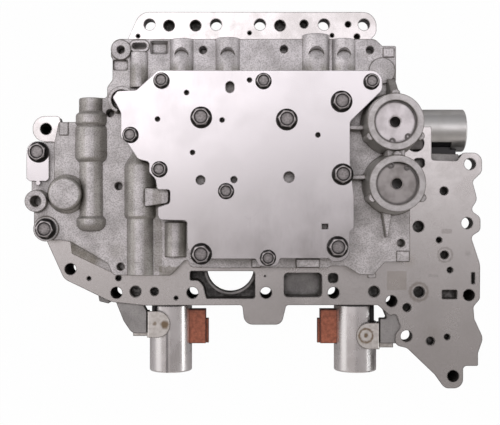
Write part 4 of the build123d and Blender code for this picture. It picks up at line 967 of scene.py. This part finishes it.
class BoltTree:
    """A Geometry Nodes tree that sets one bolt on every point, each turned by a random angle."""

    largest_float, float_value = 3, 1

    def __init__(self) -> None:
        """Builds the tree with its named inputs."""
        self.tree = bpy.data.node_groups.new("bolt_pattern", "GeometryNodeTree")
        socket = self.tree.interface.new_socket
        self.inputs = {
            name: socket(name=name, in_out="INPUT", socket_type=f"NodeSocket{kind}").identifier
            for name, kind in (
                ("Points", "Geometry"), ("Bolt", "Object"), ("Tilt", "Float"), ("Seed", "Int"),
                ("Finish", "Material"),
            )
        }
        socket(name="Bolts", in_out="OUTPUT", socket_type="NodeSocketGeometry")
        new = self.tree.nodes.new
        link = self.tree.links.new
        start = new("NodeGroupInput").outputs
        chosen = new("GeometryNodeObjectInfo")
        turn = new("FunctionNodeRandomValue")
        turn.inputs[self.largest_float].default_value = 2 * math.pi
        spin = new("ShaderNodeCombineXYZ")
        place = new("GeometryNodeInstanceOnPoints")
        real = new("GeometryNodeRealizeInstances")
        dress = new("GeometryNodeSetMaterial")
        end = new("NodeGroupOutput")
        link(start["Bolt"], chosen.inputs["Object"])
        link(start["Seed"], turn.inputs["Seed"])
        link(start["Tilt"], spin.inputs["X"])
        link(turn.outputs[self.float_value], spin.inputs["Z"])
        link(start["Points"], place.inputs["Points"])
        link(chosen.outputs["Geometry"], place.inputs["Instance"])
        link(spin.outputs[0], place.inputs["Rotation"])
        link(place.outputs[0], real.inputs[0])
        link(real.outputs[0], dress.inputs["Geometry"])
        link(start["Finish"], dress.inputs["Material"])
        link(dress.outputs[0], end.inputs[0])

    def add_to(self, piece: Object, **values: object) -> None:
        """Runs the tree on a piece made of loose points.

        Args:
            piece: the piece.
            values: what its named inputs are set to.
        """
        modifier = piece.modifiers.new("bolts", "NODES")
        modifier.node_group = self.tree
        for name, value in values.items():
            modifier[self.inputs[name]] = value


@dataclass
class Bolts(Assembly):
    """All flanged bolts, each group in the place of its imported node.

    Args:
        large: the form of the cover's large bolts.
        small: the form of the cover's small bolts.
        side: the form of the two bolts at the left edge.
        strap: the form of the bolts under the solenoid straps.
    """

    large: BoltForm = BoltForm(3.0, 6.8, 10.0, 6.0, 40.0)
    small: BoltForm = BoltForm(2.5, 5.1, 8.0, 5.0, 16.0)
    side: BoltForm = BoltForm(3.0, 6.8, 10.0, 6.0, 26.0)
    strap: BoltForm = BoltForm(2.5, 5.1, 8.0, 5.0, 7.6)

    def build(self) -> None:
        """Makes each group of bolts."""
        tree = BoltTree()
        for seed, (node, form, tilt) in enumerate((
            ("cover_bolts_large", self.large, 0.0),
            ("cover_bolts_small", self.small, 0.0),
            ("side_bolts", self.side, 0.0),
            ("strap_bolts", self.strap, math.pi),
        )):
            seats = self.seats(node, form, bool(tilt))
            template = self.shop.piece(f"{node}_template", form.mesh(f"{node}_form"))
            points = bpy.data.meshes.new(f"{node}_points")
            points.from_pydata(seats, [], [])
            piece = self.shop.piece(f"{node}_finished", points)
            finish = self.shop.material(BOLT_STEEL)
            tree.add_to(piece, Bolt=template, Tilt=tilt, Seed=seed, Finish=finish)
            self.shop.settle(piece)
            bpy.data.objects.remove(template)
            self.shop.hand_over(piece, node, "bolt_steel")

    def seats(self, node: str, form: BoltForm, hanging: bool) -> list[Point]:
        """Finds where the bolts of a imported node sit.

        Args:
            node: the node, a group of separate bolts.
            form: the form of its bolts.
            hanging: whether the heads point down.

        Returns:
            The seat of each bolt, in metres.
        """
        build = bmesh.new()
        build.from_mesh(frame["nodes"][node].data)
        bmesh.ops.remove_doubles(build, verts=build.verts, dist=WELD_DISTANCE)
        seats = []
        left = set(build.verts)
        while left:
            group, edge = set(), {left.pop()}
            while edge:
                spot = edge.pop()
                group.add(spot)
                ends = {end for link in spot.link_edges for end in link.verts}
                edge.update(ends - group)
            left -= group
            low = [min(spot.co[axis] for spot in group) for axis in range(3)]
            high = [max(spot.co[axis] for spot in group) for axis in range(3)]
            head = form.head * MM
            height = low[2] + head if hanging else high[2] - head
            seats.append(((low[0] + high[0]) / 2, (low[1] + high[1]) / 2, height))
        build.free()
        return sorted(seats)


@dataclass
class ValveTrain(Assembly):
    """Spools and plugs of the six valves, the check balls, the dowels, and every spring.

    Args:
        edge: how far the plugs' edges are rounded, in millimetres.
    """

    edge: float = 0.2

    def build(self) -> None:
        """Dresses each valve's pieces."""
        for node in sorted(frame["nodes"]):
            if node.endswith("_plug"):
                self.shop.dressed(node, "turned_aluminium", TURNED_ALUMINIUM, self.edge)
            elif node.endswith("_spool"):
                self.shop.paint(node, TURNED_ALUMINIUM)
        for node in ("check_balls", "dowels"):
            self.shop.paint(node, SPRING_STEEL)
        for joint in frame["joints"]:
            for spring in joint["deforming_nodes"]:
                self.coil_up(spring["node"], joint)

    def coil_up(self, node: str, joint: dict[str, object]) -> None:
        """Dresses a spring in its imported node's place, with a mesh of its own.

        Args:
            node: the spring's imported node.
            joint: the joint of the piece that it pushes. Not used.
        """
        spring = self.shop.dressed(node, "spring_steel", SPRING_STEEL)
        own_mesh(spring)


@dataclass
class Accumulators(Assembly):
    """The two accumulators: cap, snap ring, piston and seal.

    Args:
        edge: how far the edges of caps and rings are rounded, in millimetres.
    """

    edge: float = 0.25

    def build(self) -> None:
        """Dresses both accumulators."""
        for side, cap in (("upper", UPPER_CAP), ("lower", SHADED_LOWER_CAP)):
            self.shop.dressed(f"{side}_accumulator_cap", "cover_steel", cap, self.edge)
            self.shop.dressed(f"{side}_snap_ring", "spring_steel", SNAP_STEEL, self.edge)
            self.shop.paint(f"{side}_accumulator_piston", TURNED_ALUMINIUM)
            self.shop.paint(f"{side}_accumulator_seal", SEAL_RUBBER)


@dataclass
class Solenoids(Assembly):
    """The three solenoids: drawn cans, moulded coils with their connectors, straps and inner pieces.

    Args:
        edge: how far the edges are rounded, in millimetres.
        core_inset: how far inside the can's radius the coil's painted black shade ends, in millimetres.
    """

    edge: float = 0.3
    core_inset: float = 0.9

    def build(self) -> None:
        """Dresses each solenoid."""
        for name in ("front_solenoid_1", "front_solenoid_2", "side_solenoid"):
            # The side solenoid's connector and strap take painted shade; its can is a duller steel.
            dark, bright = (DULL_CAN, BLACK_SHADE, SHADED_STRAP), (CAN_STEEL, BROWN_PLASTIC, STRAP_STEEL)
            can, coil, strap = dark if name == "side_solenoid" else bright
            shell = self.shop.dressed(f"{name}_can", can.name, can, self.edge)
            winding = self.shop.dressed(f"{name}_coil", coil.name, coil, self.edge)
            self.paint_core_shade(winding, shell)
            self.shop.dressed(f"{name}_strap", "plate_steel", strap, self.edge)
            self.shop.paint(f"{name}_sleeve", TURNED_ALUMINIUM)
            self.shop.paint(f"{name}_plunger", TURNED_ALUMINIUM)

    def paint_core_shade(self, winding: Object, shell: Object) -> None:
        """Paints the part of a coil inside its can black, as painted shade in the collar and the can's slot.

        Args:
            winding: the coil with its connector.
            shell: the can.
        """
        corners = [Vector(corner) for corner in shell.bound_box]
        low = Vector(map(min, zip(*corners)))
        high = Vector(map(max, zip(*corners)))
        middle = (low + high) / 2
        along = max(range(3), key=lambda axis: high[axis] - low[axis])
        reach = (high.z - low.z) / 2 - self.core_inset * MM
        winding.data.materials.append(self.shop.material(BLACK_SHADE))
        for face in winding.data.polygons:
            away = face.center - middle
            away[along] = 0.0
            if away.length < reach:
                face.material_index = 1


@dataclass(frozen=True)
class Lamp:
    """A soft lamp of the studio.

    Args:
        name: its name.
        place: where it stands, in metres.
        aim: the point that it faces, in metres.
        width: its width in metres.
        height: its height in metres.
        power: its power in watts.
        colour: its colour.
    """

    name: str
    place: Point
    aim: Point
    width: float
    height: float
    power: float
    colour: Colour = WHITE

    def build(self) -> None:
        """Makes the lamp."""
        data = bpy.data.lights.new(self.name, "AREA")
        data.shape = "RECTANGLE"
        data.size = self.width
        data.size_y = self.height
        data.energy = self.power
        data.color = self.colour
        lamp = bpy.data.objects.new(self.name, data)
        bpy.context.scene.collection.objects.link(lamp)
        lamp.location = self.place
        away = Vector(self.aim) - Vector(self.place)
        lamp.rotation_euler = away.to_track_quat("-Z", "Y").to_euler()


@dataclass(frozen=True)
class Card:
    """A part of the sky that is lighter or darker than the rest, with a soft edge.

    Args:
        axis: the axis of the direction that tells where it starts.
        start: where it starts on that axis.
        full: where it is full.
        gain: how much light it adds there.
    """

    axis: Axis
    start: float
    full: float
    gain: float


@dataclass
class Studio:
    """The camera straight above, the white floor, the sky that the sheet metal mirrors, and the lamps.

    Args:
        camera_place: where the camera is, in metres.
        camera_lens: its focal length in millimetres.
        camera_sensor: the width of its sensor in millimetres.
        floor_size: the side of the floor in metres.
        floor_gap: how far the floor lies under the part, in metres.
        floor_colour: its colour.
        floor_roughness: how dull it is.
        floor_glow: how much of what the camera sees of it is its own light.
        sky_front: the sky's colour towards -Y.
        sky_back: its colour towards +Y.
        sky_depth: where the front turns into the back, along the Y of a direction.
        cards: the parts of the sky that differ: left, right, far back and far front.
        lamps: the lamps.
    """

    camera_place: Point = (0.0, -0.0003, 0.6525)
    camera_lens: float = 68.68
    camera_sensor: float = 36.0
    floor_size: float = 4.0
    floor_gap: float = 0.0003
    floor_colour: Colour = (0.55, 0.55, 0.55)
    floor_roughness: float = 0.9
    floor_glow: float = 0.985
    sky_front: Colour = (0.23, 0.21, 0.205)
    sky_back: Colour = (1.16, 1.09, 1.13)
    sky_depth: Pair = (-0.07, 0.19)
    cards: tuple[Card, ...] = (
        Card(Axis.X, 0.08, -0.14, 0.68),
        Card(Axis.X, 0.09, 0.20, 0.24),
        Card(Axis.Y, 0.26, 0.60, -1.0),
        Card(Axis.Y, -0.40, -0.80, 1.3),
    )
    lamps: tuple[Lamp, ...] = (
        Lamp("back_softbox", (-0.45, 1.0, 1.0), (0, 0, 0), 2.2, 1.6, 2.6, (0.98, 0.98, 1.0)),
        Lamp("left_softbox", (-1.1, -0.2, 0.45), (0, -0.08, 0.02), 0.7, 0.7, 0.8),
        Lamp("right_softbox", (1.2, -0.2, 0.34), (0, -0.08, 0.02), 0.7, 0.25, 1.45),
    )

    def build(self) -> None:
        """Makes the whole studio."""
        self.camera()
        self.floor()
        self.sky()
        for lamp in self.lamps:
            lamp.build()
        bpy.context.scene.view_settings.view_transform = "Standard"

    def camera(self) -> None:
        """Sets the camera above the part, looking straight down with +Y up in the picture."""
        data = bpy.data.cameras.new("camera")
        data.lens = self.camera_lens
        data.sensor_width = self.camera_sensor
        camera = bpy.data.objects.new("camera", data)
        bpy.context.scene.collection.objects.link(camera)
        camera.location = self.camera_place
        bpy.context.scene.camera = camera

    def floor(self) -> None:
        """Lays the floor. Most of what the camera sees is its own light, and the rest takes shadows."""
        half = self.floor_size / 2
        mesh = bpy.data.meshes.new("floor")
        ends = ((-half, -half), (half, -half), (half, half), (-half, half))
        mesh.from_pydata([(*end, -self.floor_gap) for end in ends], [], [tuple(range(len(ends)))])
        floor = bpy.data.objects.new("floor", mesh)
        bpy.context.scene.collection.objects.link(floor)
        made = Shader("floor")
        made.feed(made.surface.inputs["Base Color"], self.floor_colour)
        made.feed(made.surface.inputs["Roughness"], self.floor_roughness)
        glow = made.node("ShaderNodeEmission")
        made.show("Material Output", made.surface.outputs[0], glow.outputs[0], self.floor_glow)
        mesh.materials.append(made.material)

    def sky(self) -> None:
        """Lights the part from all around: bright behind it, dimmer in front, with its cards.

        The camera sees a white backdrop in its place.
        """
        world = bpy.data.worlds.new("studio_sky")
        bpy.context.scene.world = world
        world.use_nodes = True
        made = Nodes(world.node_tree, "Generated")
        direction = made.parts(made.place)
        gain: Value = 0.0
        for card in self.cards:
            step = made.ease(direction[card.axis.value], card.start, card.full, card.gain)
            gain = made.calc("ADD", gain, step)
        light = made.tree.nodes["Background"]
        depth = made.ease(direction[Axis.Y.value], *self.sky_depth)
        made.feed(light.inputs["Color"], made.blend(depth, self.sky_front, self.sky_back))
        made.feed(light.inputs["Strength"], made.calc("ADD", gain, 1.0))
        backdrop = made.node("ShaderNodeBackground")
        made.feed(backdrop.inputs["Color"], WHITE)
        made.show("World Output", light.outputs[0], backdrop.outputs[0])


def main() -> None:
    """Builds the studio and every sub-assembly in order."""
    logging.basicConfig(level=logging.INFO, format="%(name)s: %(message)s")
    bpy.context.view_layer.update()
    Studio().build()
    shop = Workshop()
    for assembly in (Castings, Plates, Bolts, ValveTrain, Accumulators, Solenoids):
        assembly(shop).build()


if __name__ == "__main__":
    main()
